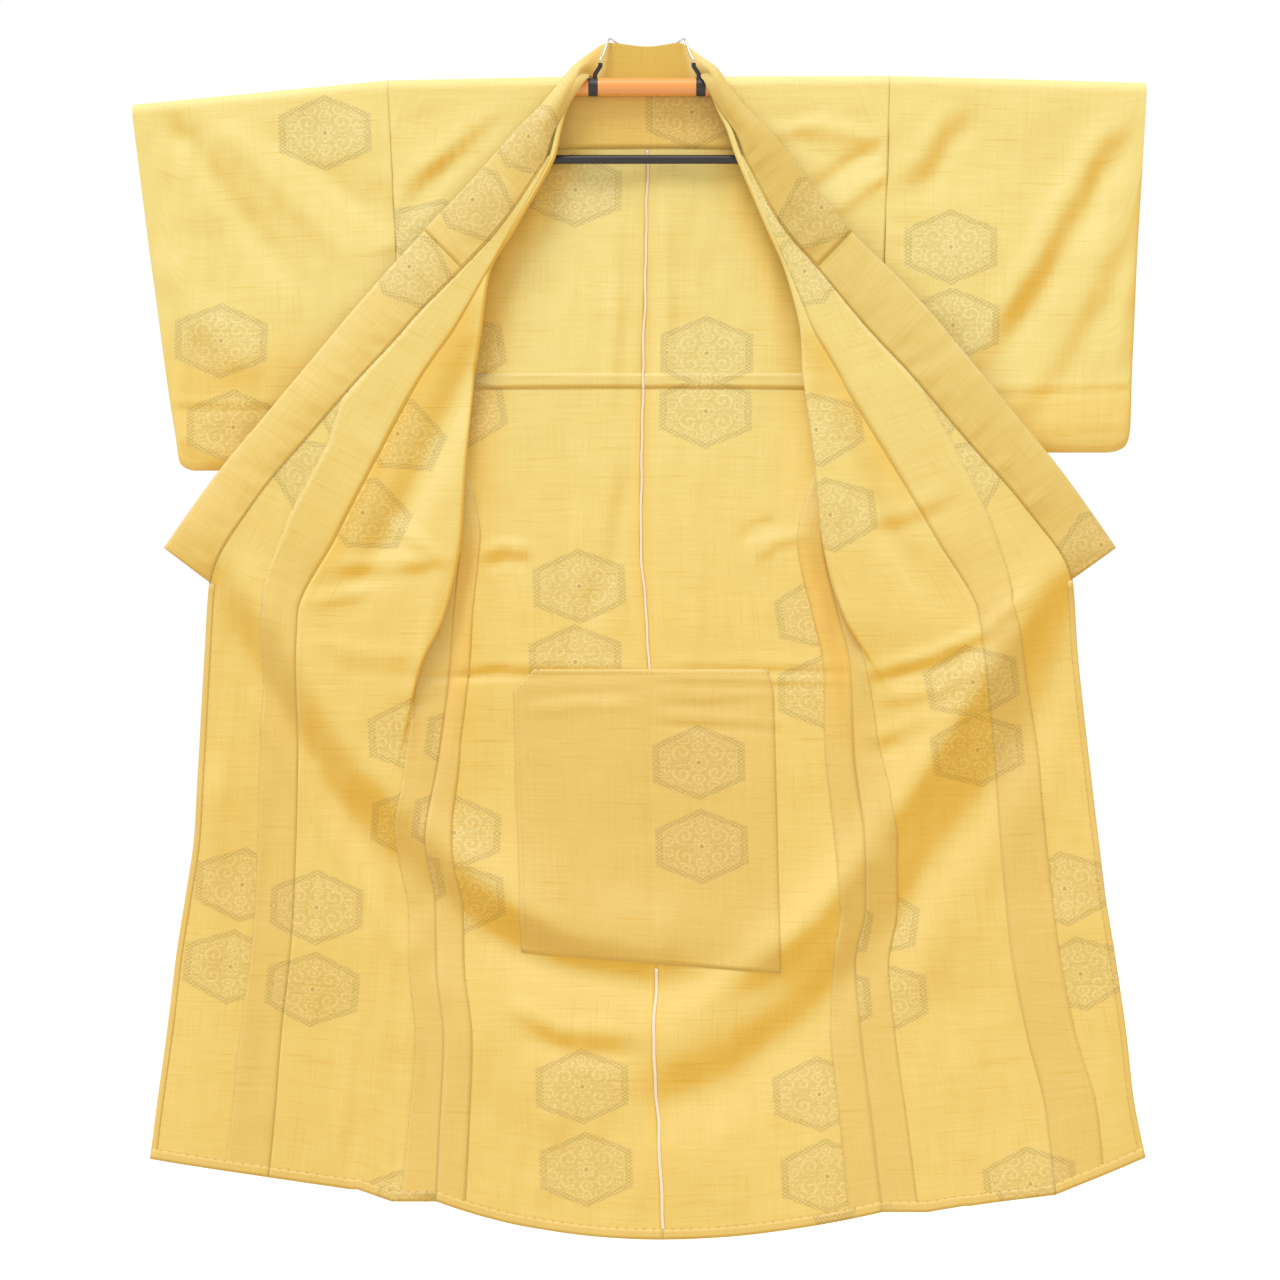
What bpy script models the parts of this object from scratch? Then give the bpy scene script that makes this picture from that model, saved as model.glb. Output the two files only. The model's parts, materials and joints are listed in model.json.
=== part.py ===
"""Tsumugi kimono hung open on its kimono hanger, with both fronts turned outwards.

Sizes are in millimetres, measured from the axis of the hanger bar: x to the viewer's right, z up,
and depth as the distance towards the viewer. The finished part has its origin inside the top of
the hanger's eye. Every cloth wall is a grid of points moved onto its sections and given a thickness.
"""
import math
from collections import namedtuple

import bmesh
import bpy
from mathutils import Vector

MM = 0.001
NAME = "tsumugi_kimono"
SIDES = {"left": -1, "right": 1}

# Hanger
BAR_RADIUS = 12.0
BAND_RADIUS = 12.2
BAND_X = 71.5
BAND_WIDTH = 12.0
ARM_END = {"left": 668.0, "right": 648.0}
OBI_BAR_RADIUS = 6.0
OBI_BAR_Z = -96.0
OBI_BAR_HALF = 160.0
OBI_ARM_X = 152.0
OBI_ARM_RADIUS = 3.0
STEM_RADIUS = 3.0
WIRE_RADIUS = 1.4
EYE_MAJOR = 7.5
EYE_MINOR = 1.6
EYE_Y = 42.0
EYE_Z = 48.6
HOOK_Z = EYE_Z + EYE_MAJOR - EYE_MINOR
RING_STEM_Z = 12.5     # just above the ring

# Each side's stem on its ring, and the wire that leads from it back and up, then forward to the eye
Stop = namedtuple("Stop", "x y z")
STEM = (Stop(69, 0, RING_STEM_Z), Stop(69, 0, 17), Stop(62, 1, 28), Stop(62, 1, 32))
WIRE_LINE = (Stop(62, 1, 32.3), Stop(62, 1, 35), Stop(58, 6, 44), Stop(53, 15, 59), Stop(51, 20, 65),
             Stop(49, 27, 67.5), Stop(45, 35, 66), Stop(36, 40, 61), Stop(24, 42, 55), Stop(10, 42, 49))

# Cloth
GAP = 0.3
CLOTH = 1.2
COLLAR_CLOTH = 1.2
THIN_CLOTH = 1.0
TAPE_CLOTH = 0.8
COLLAR_STAND = 1.8     # room beside the turned front where the collar stands up from it
HANG = 13.3            # middle of the cloth from the bar's axis where it hangs over the bar
VALLEY_RADIUS = 3.0
TAPE_WIDTH = 6.5
SLEEVE_LIP = 1.8       # half the opening at a sleeve's sewn bottom
SLIT_ROOM = 0.5        # between back and front where the side seam begins
NECK_LIFT = 1.0
OVER_COLLAR_INSET = 4.5
OVER_COLLAR_GAP = 1.0
OVERLAY_ROOM = 0.2
TAPE_ROOM = 0.45
TUCK_INSET = 8.0
NECK = {"left": 84.0, "right": 79.0}
PATCH = {"left": 177.0, "right": 171.0}

# Section numbers that pieces start or end at
SIDE_ROW = 3
TIP = 6
OVER_COLLAR_END = 8
SLIT_END = 9
TUCK_TOP = 11
TUCK_LOW = 12
COLLAR_END = 15
PATCH_TOP = 16
PATCH_LOW = 20
LINING_TOP = SIDE_ROW + 0.44
END_SHARE = 0.02
COLLAR_TOP = (0, 1.5, 2, 2.5, 3, 3.5, 4, 4.5, 5, 5.5)
OVER_COLLAR_TURN = 4.6     # column after which the over-collar lies on the collar's outer face

# Height of the bar's axis along its length, because the arms bend a little under the cloth
Bend = namedtuple("Bend", "x z")
BAR_LINE = (Bend(-690, -38), Bend(-343, -5), Bend(-100, 0), Bend(100, 0), Bend(322, 1), Bend(690, -9))

# Fold of the cloth over the bar: depth, height, and the way out from the bar
Fold = namedtuple("Fold", "depth height out_depth out_height")
SHOULDER = (Fold(0.15, 13.3, 0, 1), Fold(3.2, 13.3, 0, 1), Fold(10.8, 9.9, 0.73, 0.68), Fold(13.5, 0, 1, 0))

# One row for each section, from the shoulder's crest to the hem: rows of faces down to the next
# section, and height, place of the centre seam and distance from the bar on the back
Level = namedtuple("Level", "steps back_z centre_x back_y")
LEVELS = (
    Level(1, 0, 0, 13.3),
    Level(1, 0, 0, 13.3),
    Level(1, 0, 0, 13.3),
    Level(1, 0, 0, 13.3),
    Level(1, -33, 0, 13.3),
    Level(1, -58, 1, 13.3),
    Level(2, -80, 1, 13.3),
    Level(1, -185, -1, 13.3),
    Level(2, -250, -2, 13.3),
    Level(1, -325, -4, 13.3),
    Level(1, -352, -5, 13.3),
    Level(1, -379, -5, 13.3),
    Level(2, -399, -5, 13.3),
    Level(2, -505, -7, 13.0),
    Level(2, -600, -8, 12.0),
    Level(2, -700, -1, 10.0),
    Level(2, -773, 3, 9.0),
    Level(2, -889, 8, 9.0),
    Level(2, -998, 11, 10.0),
    Level(2, -1090, 13, 10.0),
    Level(2, -1166, 13, 9.0),
    Level(2, -1267, 9, 8.0),
    Level(2, -1395, 16, 7.0),
    Level(0, -1531, 22, 7.0),
)

# Front widths, as distances out from the centre: the side seam, the valley and the roll where the
# cloth turns back, and the seam to the overlap panel
Front = namedtuple("Front", "side side_z side_depth valley valley_depth valley_turn "
                            "roll roll_z roll_depth roll_radius roll_turn seam seam_z seam_depth")
FRONT = {
    "left": (
        Front(343, 0, 13.3, 335, 13.3, 0, 84, 0, 15.5, 2.2, 1, 89, 0, 17.7),
        Front(343, 0, 13.3, 335, 13.3, 0, 84, 0, 15.5, 2.2, 1, 89, 0, 17.7),
        Front(343, 0, 13.3, 335, 13.3, 0, 85, 0, 15.5, 2.2, 1, 90, 0, 17.7),
        Front(343, 0, 13.3, 335, 13.3, 0, 88, 0, 15.5, 2.2, 1, 93, 0, 17.7),
        Front(341.4, -33, 13.3, 333, 13.3, 0, 106, -33, 16.1, 2.8, 1, 112, -33, 18.9),
        Front(340.2, -58, 13.3, 332, 13.3, 0, 113, -58, 16.9, 3.6, 1, 120, -58, 20.5),
        Front(338.6, -91, 13.3, 330, 13.3, 0, 120, -91, 17.7, 4.4, 1, 128, -92, 22.1),
        Front(334, -185, 13.3, 325, 13.3, 0, 171, -185, 18.3, 5.0, 1, 179, -188, 23.3),
        Front(330.9, -250, 13.3, 321, 13.3, 0, 208, -250, 18.3, 5.0, 1, 216, -254, 23.3),
        Front(318, -325, 13.3, 300, 13.3, 0, 219, -325, 18.3, 5.0, 1, 259, -329, 24),
        Front(309, -352, 4, 308, 9, 0.5, 223, -352, 17.4, 5.0, 1, 277, -354, 24),
        Front(302, -379, -2, 308, 1, 1, 228, -379, 16.5, 5.0, 1, 295, -380, 24),
        Front(297, -402, -2, 304, 1, 1, 230, -402, 16.5, 5.0, 1, 310, -405, 24),
        Front(271, -505, -2, 280, 1, 1, 240, -505, 15.5, 5.0, 1, 364, -506, 23),
        Front(250, -600, -2, 264, 1, 1, 246, -600, 13.5, 5.0, 1, 413, -600, 21),
        Front(258, -700, -3, 294, 0, 1, 268, -700, 11.0, 4.0, 1, 463, -700, 16),
        Front(262, -773, -3, 314, 0, 1, 301, -773, 9.5, 3.5, 1, 465, -773, 13),
        Front(276, -889, -3, 306, 1, 0.2, 328, -889, 5.0, 3.0, 0.2, 464, -889, 9),
        Front(294, -998, -4, 330, -2, 0, 372, -998, 1.0, 3.0, 0, 466, -998, 5),
        Front(281, -1090, -4, 327, -2, 0, 373, -1088, 1.0, 3.0, 0, 469, -1085, 4),
        Front(280, -1166, -4, 328, -2, 0, 374, -1162, 1.0, 3.0, 0, 474, -1155, 4),
        Front(270, -1267, -4, 323, -2, 0, 376, -1260, 1.0, 3.0, 0, 485, -1250, 4),
        Front(275, -1380, -5, 330, -3, 0, 384, -1370, 0.0, 3.0, 0, 493, -1352, 4),
        Front(280, -1480, -5, 335, -3, 0, 390, -1464, 0.0, 3.0, 0, 502, -1447, 4),
    ),
    "right": (
        Front(322, 0, 13.3, 314, 13.3, 0, 79, 0, 15.5, 2.2, 1, 84, 0, 17.7),
        Front(322, 0, 13.3, 314, 13.3, 0, 79, 0, 15.5, 2.2, 1, 84, 0, 17.7),
        Front(322, 0, 13.3, 314, 13.3, 0, 79, 0, 15.5, 2.2, 1, 84, 0, 17.7),
        Front(322, 0, 13.3, 314, 13.3, 0, 80, 0, 15.5, 2.2, 1, 85, 0, 17.7),
        Front(321, -33, 13.3, 313, 13.3, 0, 93, -33, 16.1, 2.8, 1, 99, -33, 18.9),
        Front(320.3, -58, 13.3, 312, 13.3, 0, 105, -58, 16.9, 3.6, 1, 112, -58, 20.5),
        Front(319.3, -91, 13.3, 311, 13.3, 0, 116, -91, 17.7, 4.4, 1, 124, -92, 22.1),
        Front(316.6, -185, 13.3, 308, 13.3, 0, 156, -185, 18.3, 5.0, 1, 164, -188, 23.3),
        Front(314.7, -250, 13.3, 305, 13.3, 0, 184, -250, 18.3, 5.0, 1, 192, -254, 23.3),
        Front(302, -325, 13.3, 285, 13.3, 0, 203, -325, 18.3, 5.0, 1, 223, -329, 24),
        Front(295, -352, 4, 294, 9, 0.5, 205, -352, 17.4, 5.0, 1, 238, -354, 24),
        Front(288, -379, -2, 294, 1, 1, 206, -379, 16.5, 5.0, 1, 253, -380, 24),
        Front(283, -402, -2, 290, 1, 1, 209, -402, 16.5, 5.0, 1, 266, -405, 24),
        Front(258, -505, -2, 267, 1, 1, 223, -505, 15.5, 5.0, 1, 327, -506, 23),
        Front(235, -600, -2, 248, 1, 1, 232, -600, 13.5, 5.0, 1, 385, -603, 21),
        Front(255, -700, -3, 278, 0, 1, 260, -700, 11.0, 4.0, 1, 440, -700, 16),
        Front(271, -773, -3, 287, 0, 0.3, 303, -773, 7.0, 3.5, 0.3, 449, -773, 13),
        Front(276, -889, -3, 320, -1, 0, 365, -889, 3.0, 3.0, 0, 463, -889, 9),
        Front(289, -998, -4, 330, -2, 0, 372, -998, 1.0, 3.0, 0, 470, -998, 5),
        Front(291, -1090, -4, 333, -2, 0, 378, -1088, 1.0, 3.0, 0, 478, -1085, 4),
        Front(278, -1166, -4, 330, -2, 0, 378, -1164, 1.0, 3.0, 0, 486, -1160, 4),
        Front(286, -1267, -4, 340, -2, 0, 392, -1265, 1.0, 3.0, 0, 506, -1262, 4),
        Front(300, -1380, -5, 355, -3, 0, 410, -1375, 0.0, 3.0, 0, 531, -1365, 4),
        Front(313, -1494, -5, 368, -3, 0, 425, -1486, 0.0, 3.0, 0, 542, -1470, 4),
    ),
}

# Outer edge of the overlap panel, which is the collar's seam down to the collar's end
Edge = namedtuple("Edge", "out z depth")
EDGE = {
    "left": (
        Edge(131, -94, 22.4), Edge(196, -189, 25), Edge(246, -243, 26), Edge(308, -306, 27),
        Edge(327, -328, 27), Edge(347, -350, 27), Edge(367, -371, 27), Edge(447, -462, 27),
        Edge(521, -551, 26), Edge(580, -658, 20), Edge(587, -760, 14), Edge(594, -889, 9), Edge(600, -995, 6),
        Edge(612, -1075, 5), Edge(624, -1150, 5), Edge(636, -1250, 5), Edge(649, -1345, 5),
        Edge(659, -1422, 5),
    ),
    "right": (
        Edge(127, -94, 22.4), Edge(181, -189, 25), Edge(226, -241, 26), Edge(287, -315, 27),
        Edge(306, -336, 27), Edge(326, -357, 27), Edge(346, -378, 27), Edge(425, -471, 27),
        Edge(501, -558, 26), Edge(563, -654, 20), Edge(572, -760, 14), Edge(586, -889, 9), Edge(598, -992, 6),
        Edge(608, -1075, 5), Edge(621, -1155, 5), Edge(636, -1262, 5), Edge(645, -1342, 5),
        Edge(661, -1420, 5),
    ),
}

# Free edge of the collar from the shoulder's crest to its end, and how far the band arches
Free = namedtuple("Free", "out z depth crown")
FREE = {
    "left": (
        Free(85, 40, -14, 4), Free(89, 35, -6, 4), Free(97, 28, 3, 5), Free(107, 15, 14, 5),
        Free(127, -12, 22, 6), Free(142, -30, 24, 6), Free(161, -49, 26, 4), Free(241, -138, 28, 3),
        Free(294, -193, 28, 3), Free(359, -264, 29, 3), Free(379, -287, 29, 3), Free(399, -310, 29, 3),
        Free(418, -333, 29, 3),
        Free(497, -428, 29, 3), Free(568, -513, 28, 3), Free(639, -612, 24, 2),
    ),
    "right": (
        Free(78, 38, -14, 4), Free(82, 33, -6, 4), Free(90, 27, 3, 5), Free(99, 15, 14, 5),
        Free(115, -12, 22, 6), Free(133, -33, 24, 6), Free(160, -60, 26, 4), Free(228, -146, 28, 3),
        Free(270, -194, 28, 3), Free(338, -260, 29, 3), Free(358, -282, 29, 3), Free(379, -305, 29, 3),
        Free(397, -327, 29, 3),
        Free(475, -421, 29, 3), Free(552, -516, 28, 3), Free(620, -612, 24, 2),
    ),
}

# The collar round the back neck: x, distance behind the bar and height of its seam and free edge
Neck = namedtuple("Neck", "seam_x seam_y seam_z free_x free_y free_z crown")
BACK_NECK = (
    Neck(-79, 8.5, 16.5, -69, 24, 52, 3),
    Neck(-62, 15, 6.5, -53, 28, 62, 0),
    Neck(-30, 15.5, 5, -27, 29, 59, 0),
    Neck(0, 15.5, 5, 0, 30, 56, 0),
    Neck(30, 15.5, 5, 25, 29, 59, 0),
    Neck(56, 15, 6.5, 45, 28, 62, 0),
    Neck(74, 8.5, 16.5, 60, 24, 51, 3),
)

# Sleeves, inner edge to cuff: place on the crest, and the point of the lower edge under it
Sleeve = namedtuple("Sleeve", "top low low_z")
SLEEVE = {
    "left": (
        Sleeve(343, 318, -509), Sleeve(395, 380, -509), Sleeve(445, 440, -509), Sleeve(495, 498, -509),
        Sleeve(540, 552, -509), Sleeve(578, 598, -509), Sleeve(606, 619, -500), Sleeve(632, 626, -460),
        Sleeve(654, 634, -410), Sleeve(670, 645, -330), Sleeve(682, 656, -246),
    ),
    "right": (
        Sleeve(322, 307.7, -485), Sleeve(375, 370, -485), Sleeve(425, 430, -485), Sleeve(475, 490, -485),
        Sleeve(520, 550, -485), Sleeve(558, 608, -485), Sleeve(588, 633, -478), Sleeve(612, 641, -455),
        Sleeve(633, 643, -390), Sleeve(649, 647, -300), Sleeve(662, 650, -217),
    ),
}
# Way down a sleeve below the bar, and its depth as a share of the depth over the bar
Drop = namedtuple("Drop", "share depth")
SLEEVE_DROPS = (Drop(0.15, 1), Drop(0.46, 0.97), Drop(0.65, 0.8), Drop(0.82, 0.65), Drop(0.94, 0.5),
                Drop(0.985, 0.34))

# The largest folds: how far each stands out, its half width, and the line that it follows. The robe
# sags between its two raised front edges, so a crest and the valley under it cross it like a swag.
Knot = namedtuple("Knot", "x z")
LargeFold = namedtuple("LargeFold", "height width line")
LARGE_FOLDS = (
    LargeFold(8, 52, (Knot(-526, -668), Knot(-436, -800), Knot(-364, -913), Knot(-288, -996),
                      Knot(-195, -1059), Knot(-76, -1112), Knot(17, -1132))),
    LargeFold(-8, 45, (Knot(-576, -668), Knot(-533, -780), Knot(-460, -913), Knot(-370, -1039),
                       Knot(-285, -1118), Knot(-168, -1155), Knot(11, -1191), Knot(150, -1187))),
    LargeFold(8, 52, (Knot(521, -641), Knot(448, -747), Knot(382, -867), Knot(322, -966), Knot(256, -1065),
                      Knot(176, -1145), Knot(97, -1211), Knot(44, -1264))),
    LargeFold(-8, 45, (Knot(560, -681), Knot(514, -807), Knot(468, -900), Knot(401, -992), Knot(335, -1112),
                       Knot(269, -1200), Knot(203, -1267), Knot(123, -1328), Knot(28, -1359))),
    LargeFold(-6, 55, (Knot(-420, -1250), Knot(-400, -1480))),
    LargeFold(-7, 60, (Knot(430, -1230), Knot(470, -1490))),
    LargeFold(6, 50, (Knot(-590, -950), Knot(-600, -1440))),
    LargeFold(6, 50, (Knot(585, -930), Knot(620, -1440))),
)
RELIEF_TOP = -560.0
RELIEF_FULL = -700.0


def mix(a, b, t):
    return a + (b - a) * t


def smooth(t):
    t = min(1.0, max(0.0, t))
    return t * t * (3 - 2 * t)


def place(x, y, z):
    """A point measured from the bar's axis, in the part's own frame."""
    return Vector((x * MM, (y - EYE_Y) * MM, (z - HOOK_Z) * MM))


def between(rows, at):
    """Values at a fractional row number, on a smooth line that never overshoots its rows."""
    last = len(rows) - 1
    low = min(int(at), last - 1)
    t = at - low
    if t < 1e-9:
        return rows[low]
    values = []
    for column in range(len(rows[0])):
        value = [rows[min(max(k, 0), last)][column] for k in range(low - 1, low + 3)]
        step = [value[k + 1] - value[k] for k in range(3)]
        slope = [2 * a * b / (a + b) if a * b > 0 else 0.0 for a, b in zip(step, step[1:])]
        ease = t * t * (3 - 2 * t)
        values.append(value[1] + ease * step[1] + slope[0] * t * (1 - t) ** 2 - slope[1] * t * t * (1 - t))
    return type(rows[0])(*values)


def bar_z(x):
    for a, b in zip(BAR_LINE, BAR_LINE[1:]):
        if x <= b.x:
            return mix(a.z, b.z, (x - a.x) / (b.x - a.x))
    return BAR_LINE[-1].z


def line_distance(x, z, knots):
    """Shortest way from a point to a line of knots."""
    ways = []
    for a, b in zip(knots, knots[1:]):
        along = Vector((b.x - a.x, b.z - a.z))
        start = Vector((x - a.x, z - a.z))
        share = min(1.0, max(0.0, start.dot(along) / along.length_squared))
        ways.append((start - along * share).length)
    return min(ways)


def relief(x, z):
    """How far the large folds push the cloth towards the viewer."""
    total = 0.0
    for fold in LARGE_FOLDS:
        away = line_distance(x, z, fold.line) / fold.width
        total += fold.height * math.exp(-away * away)
    return total * smooth((RELIEF_TOP - z) / (RELIEF_TOP - RELIEF_FULL))


def hang(x, z, depth, row, face):
    """A point of cloth that hangs over the bar: face is -1 in front and 1 behind."""
    if row < SIDE_ROW:
        low = int(row)
        a, b = SHOULDER[low], SHOULDER[low + 1]
        fold = Fold(*(mix(p, q, row - low) for p, q in zip(a, b)))
        extra = depth - HANG
        return place(x, face * (fold.depth + extra * fold.out_depth),
                     bar_z(x) + fold.height + extra * fold.out_height)
    return place(x, face * depth - relief(x, z), z + bar_z(x) * max(0.0, 1 + z / 100))


def section_numbers(first, last):
    numbers = []
    for level in range(first, last):
        steps = LEVELS[level].steps
        numbers += [level + k / steps for k in range(steps)]
    return numbers + [last]


def turn_points(at_out, depth, radius, turn, bulge, run):
    """Four points of a fold: a half circle when turned, a short straight stretch when not."""
    points = []
    for k in range(4):
        angle = math.radians(-90 + 60 * k)
        round_out = at_out - bulge * radius * (1 - math.cos(angle))
        round_depth = depth + radius * math.sin(angle)
        flat_out = at_out + run * (k - 1.5) * radius
        points.append((mix(flat_out, round_out, turn), mix(depth, round_depth, turn)))
    return points


def stretch(a, b, count):
    """Points strictly between two points of a section."""
    return [tuple(mix(p, q, k / (count + 1)) for p, q in zip(a, b)) for k in range(1, count + 1)]


def front_section(side, at):
    """The front width at one section: side seam, valley, roll, and seam to the overlap panel."""
    row = between(FRONT[side], at)
    sign = SIDES[side]
    edge = GAP / 2 * min(1.0, max(-1.0, (row.valley - row.side) / 3))
    run = 1 if row.seam > row.side else -1
    start = (row.side + edge, row.side_depth, row.side_z)
    valley = [(out, depth, row.side_z) for out, depth in
              turn_points(row.valley, row.valley_depth, VALLEY_RADIUS, row.valley_turn, 1, run)]
    roll = [(out, depth, row.roll_z) for out, depth in
            turn_points(row.roll, row.roll_depth, row.roll_radius, row.roll_turn, -1, run)]
    end = (row.seam - GAP / 2, row.seam_depth, row.seam_z)
    line = [start] + valley + stretch(valley[-1], roll[0], 3) + roll + stretch(roll[-1], end, 4) + [end]
    return [hang(sign * out, z, depth, at, -1) for out, depth, z in line]


def edge_at(side, at):
    if at >= TIP:
        return between(EDGE[side], at - TIP)
    row = between(FRONT[side], at)
    blend = smooth(at - (TIP - 1))
    first = EDGE[side][0]
    return Edge(mix(row.seam, first.out, blend), row.seam_z, mix(row.seam_depth, first.depth, blend))


def okumi_section(side, at, columns=4):
    row = between(FRONT[side], at)
    edge = edge_at(side, at)
    sign = SIDES[side]
    line = []
    for k in range(columns + 1):
        t = k / columns
        out = mix(row.seam + GAP / 2, edge.out - GAP / 2, t)
        line.append(hang(sign * out, mix(row.seam_z, edge.z, t), mix(row.seam_depth, edge.depth, t), at, -1))
    return line


def back_columns(side):
    neck, patch = NECK[side], PATCH[side]
    return (0, neck - 22, neck - 11, neck - 6, neck, (neck + patch) / 2, patch)


def back_row_start(side, out):
    """Where a column's top lies in the fold over the bar: on the crest outside the neck, low inside."""
    neck = NECK[side]
    starts = ((neck - 22, 2.75), (neck - 11, 2.0), (neck - 6, 1.0), (neck, 0.0))
    if out <= starts[0][0]:
        return starts[0][1]
    for (a, low), (b, high) in zip(starts, starts[1:]):
        if out <= b:
            return mix(low, high, (out - a) / (b - a))
    return 0.0


def slit_room(at):
    """Extra room between back and front where the side seam begins under the open slit."""
    return SLIT_ROOM * min(1.0, max(0.0, 1.5 - abs(at - SLIT_END - 1.5)))


def back_point(side, at, out):
    """A point of the back width at a distance from the centre seam."""
    sign = SIDES[side]
    level = between(LEVELS, at)
    front = between(FRONT[side], at)
    patch = PATCH[side]
    end = front.side - GAP / 2 - slit_room(at)
    end_y = mix(HANG, -front.side_depth, smooth((at - SLIT_END) / 2))
    share = max(0.0, (out - patch) / (end - patch))
    z = mix(level.back_z, front.side_z, (out / end) ** 2)
    x = sign * max(out, GAP / 2) + level.centre_x * max(0.0, 1 - out / patch)
    y = mix(level.back_y, end_y, smooth(share))
    row = at
    if at < SIDE_ROW:
        row = mix(back_row_start(side, out), SIDE_ROW, at / SIDE_ROW)
        if NECK[side] - 22 < out <= NECK[side]:
            y += NECK_LIFT * min(1.0, SIDE_ROW - at) * (1.0 if out < NECK[side] else min(1.0, at))
    return hang(x, z, y, row, 1)


def back_section(side, at, end_inset=0.0):
    patch = PATCH[side]
    end = between(FRONT[side], at).side - GAP / 2 - slit_room(at) - end_inset
    outs = list(back_columns(side)) + [mix(patch, end, k / 3) for k in (1, 2, 3)]
    line = [back_point(side, at, out) for out in outs]
    return line if side == "right" else line[::-1]


def across_back(at, raise_by):
    """The inner columns of both back widths as one line, moved towards the viewer."""
    left = [back_point("left", at, out) for out in back_columns("left")]
    right = [back_point("right", at, out) for out in back_columns("right")]
    centre = (left[0] + right[0]) / 2
    line = left[:0:-1] + [centre] + right[1:]
    return [point - Vector((0, raise_by * MM, 0)) for point in line]


def collar_rails():
    """Seam point, free-edge point and arch of the collar at each section, left end to right end."""
    rails = {}
    for side, sign in SIDES.items():
        rows = []
        for at in list(COLLAR_TOP) + section_numbers(TIP, COLLAR_END):
            edge = edge_at(side, at)
            free = between(FREE[side], at)
            stand = COLLAR_STAND * (1 - smooth((at - TIP + 1) / 2))
            seam = hang(sign * (edge.out + GAP / 2 + stand), edge.z, edge.depth, at, -1)
            tip = place(sign * free.out, -free.depth - relief(sign * free.out, free.z), free.z)
            rows.append((seam, tip, free.crown, at))
        rails[side] = rows
    back = []
    for at in [k / 2 for k in range(2 * len(BACK_NECK) - 1)]:
        row = between(BACK_NECK, at)
        back.append((place(row.seam_x, row.seam_y, row.seam_z), place(row.free_x, row.free_y, row.free_z),
                     row.crown, -1))
    return rails["left"][::-1] + back + rails["right"]


def collar_grid():
    """Points across the collar for each section, arched towards the viewer, and their section numbers."""
    rails = collar_rails()
    middles = [(seam + free) / 2 for seam, free, crown, at in rails]
    grid = []
    for k, (seam, free, crown, at) in enumerate(rails):
        along = middles[min(k + 1, len(rails) - 1)] - middles[max(k - 1, 0)]
        face = along.cross(free - seam).normalized()
        arch = crown * MM * 4
        grid.append([seam.lerp(free, f) + face * (arch * f * (1 - f)) for f in (0, 1 / 3, 2 / 3, 1)])
    return grid, [at for seam, free, crown, at in rails]


def grid_normals(grid):
    """The way out of a grid of points at each of its points, towards the viewer on the collar."""
    normals = []
    for i, row in enumerate(grid):
        before, after = grid[max(i - 1, 0)], grid[min(i + 1, len(grid) - 1)]
        line = []
        for j in range(len(row)):
            across = row[min(j + 1, len(row) - 1)] - row[max(j - 1, 0)]
            line.append((after[j] - before[j]).cross(across).normalized())
        normals.append(line)
    return normals


def over_collar_section(points, normals):
    """A line down the collar's inner face, round its free edge and back along the outer face."""
    height = (COLLAR_CLOTH / 2 + OVER_COLLAR_GAP + THIN_CLOTH / 2) * MM
    start = points[0] + (points[1] - points[0]).normalized() * OVER_COLLAR_INSET * MM
    covered = [start] + points[1:]
    inner = [point + normal * height for point, normal in zip(covered, normals)]
    outer = [point - normal * height for point, normal in zip(covered, normals)]
    tip, face = points[-1], normals[-1]
    across = (points[-1] - points[-2]).normalized()
    angles = (math.pi / 3, 2 * math.pi / 3)
    turn = [tip + (face * math.cos(angle) + across * math.sin(angle)) * height for angle in angles]
    return inner + turn + outer[::-1]


def sleeve_section(side, column, face):
    """One line of a sleeve half, from the crest over the bar down to the closed lower edge."""
    sign = SIDES[side]
    top = column.top + GAP / 2
    low = column.low + GAP / 2
    line = [hang(sign * top, 0, HANG, row, face) for row in range(SIDE_ROW + 1)]
    start_z = bar_z(sign * top)
    lip = [(d.share, d.depth * HANG) for d in SLEEVE_DROPS] + [(1, SLEEVE_LIP), (1, GAP / 2)]
    for share, depth in lip:
        line.append(place(sign * mix(top, low, share), face * depth, mix(start_z, column.low_z, share)))
    return line


def collection(name):
    group = bpy.data.collections.new(name)
    bpy.context.scene.collection.children.link(group)
    return group


def material(name, colour, roughness, metallic=0.0):
    made = bpy.data.materials.new(name)
    made.use_nodes = True
    shader = made.node_tree.nodes["Principled BSDF"]
    shader.inputs["Base Color"].default_value = (*colour, 1)
    shader.inputs["Roughness"].default_value = roughness
    shader.inputs["Metallic"].default_value = metallic
    return made


def finish(mesh_object, look):
    mesh_object.data.materials.append(look)
    PARTS.objects.link(mesh_object)
    return mesh_object


def wall(name, lines, thickness, look, even=True, turned_from=None):
    """A cloth wall: a grid whose points are moved onto lines of points, then given a thickness.

    Past the column turned_from the cloth lies back under itself, so its quads split the other way.
    """
    rows, columns = len(lines) - 1, len(lines[0]) - 1
    turned_from = columns if turned_from is None else turned_from
    mesh = bmesh.new()
    bmesh.ops.create_grid(mesh, x_segments=columns, y_segments=rows, size=0.5)
    faces = {True: [], False: []}
    for face in mesh.faces:
        faces[(face.calc_center_median().x + 0.5) * columns > turned_from].append(face)
    bmesh.ops.triangulate(mesh, faces=faces[False], quad_method="FIXED")
    bmesh.ops.triangulate(mesh, faces=faces[True], quad_method="ALTERNATE")
    for vert in mesh.verts:
        column = round((vert.co.x + 0.5) * columns)
        row = round((vert.co.y + 0.5) * rows)
        vert.co = lines[row][column]
    data = bpy.data.meshes.new(name)
    mesh.to_mesh(data)
    mesh.free()
    piece = finish(bpy.data.objects.new(name, data), look)
    shell = piece.modifiers.new("Thickness", "SOLIDIFY")
    shell.thickness = thickness * MM
    shell.offset = 0
    shell.use_even_offset = even
    return piece


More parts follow.
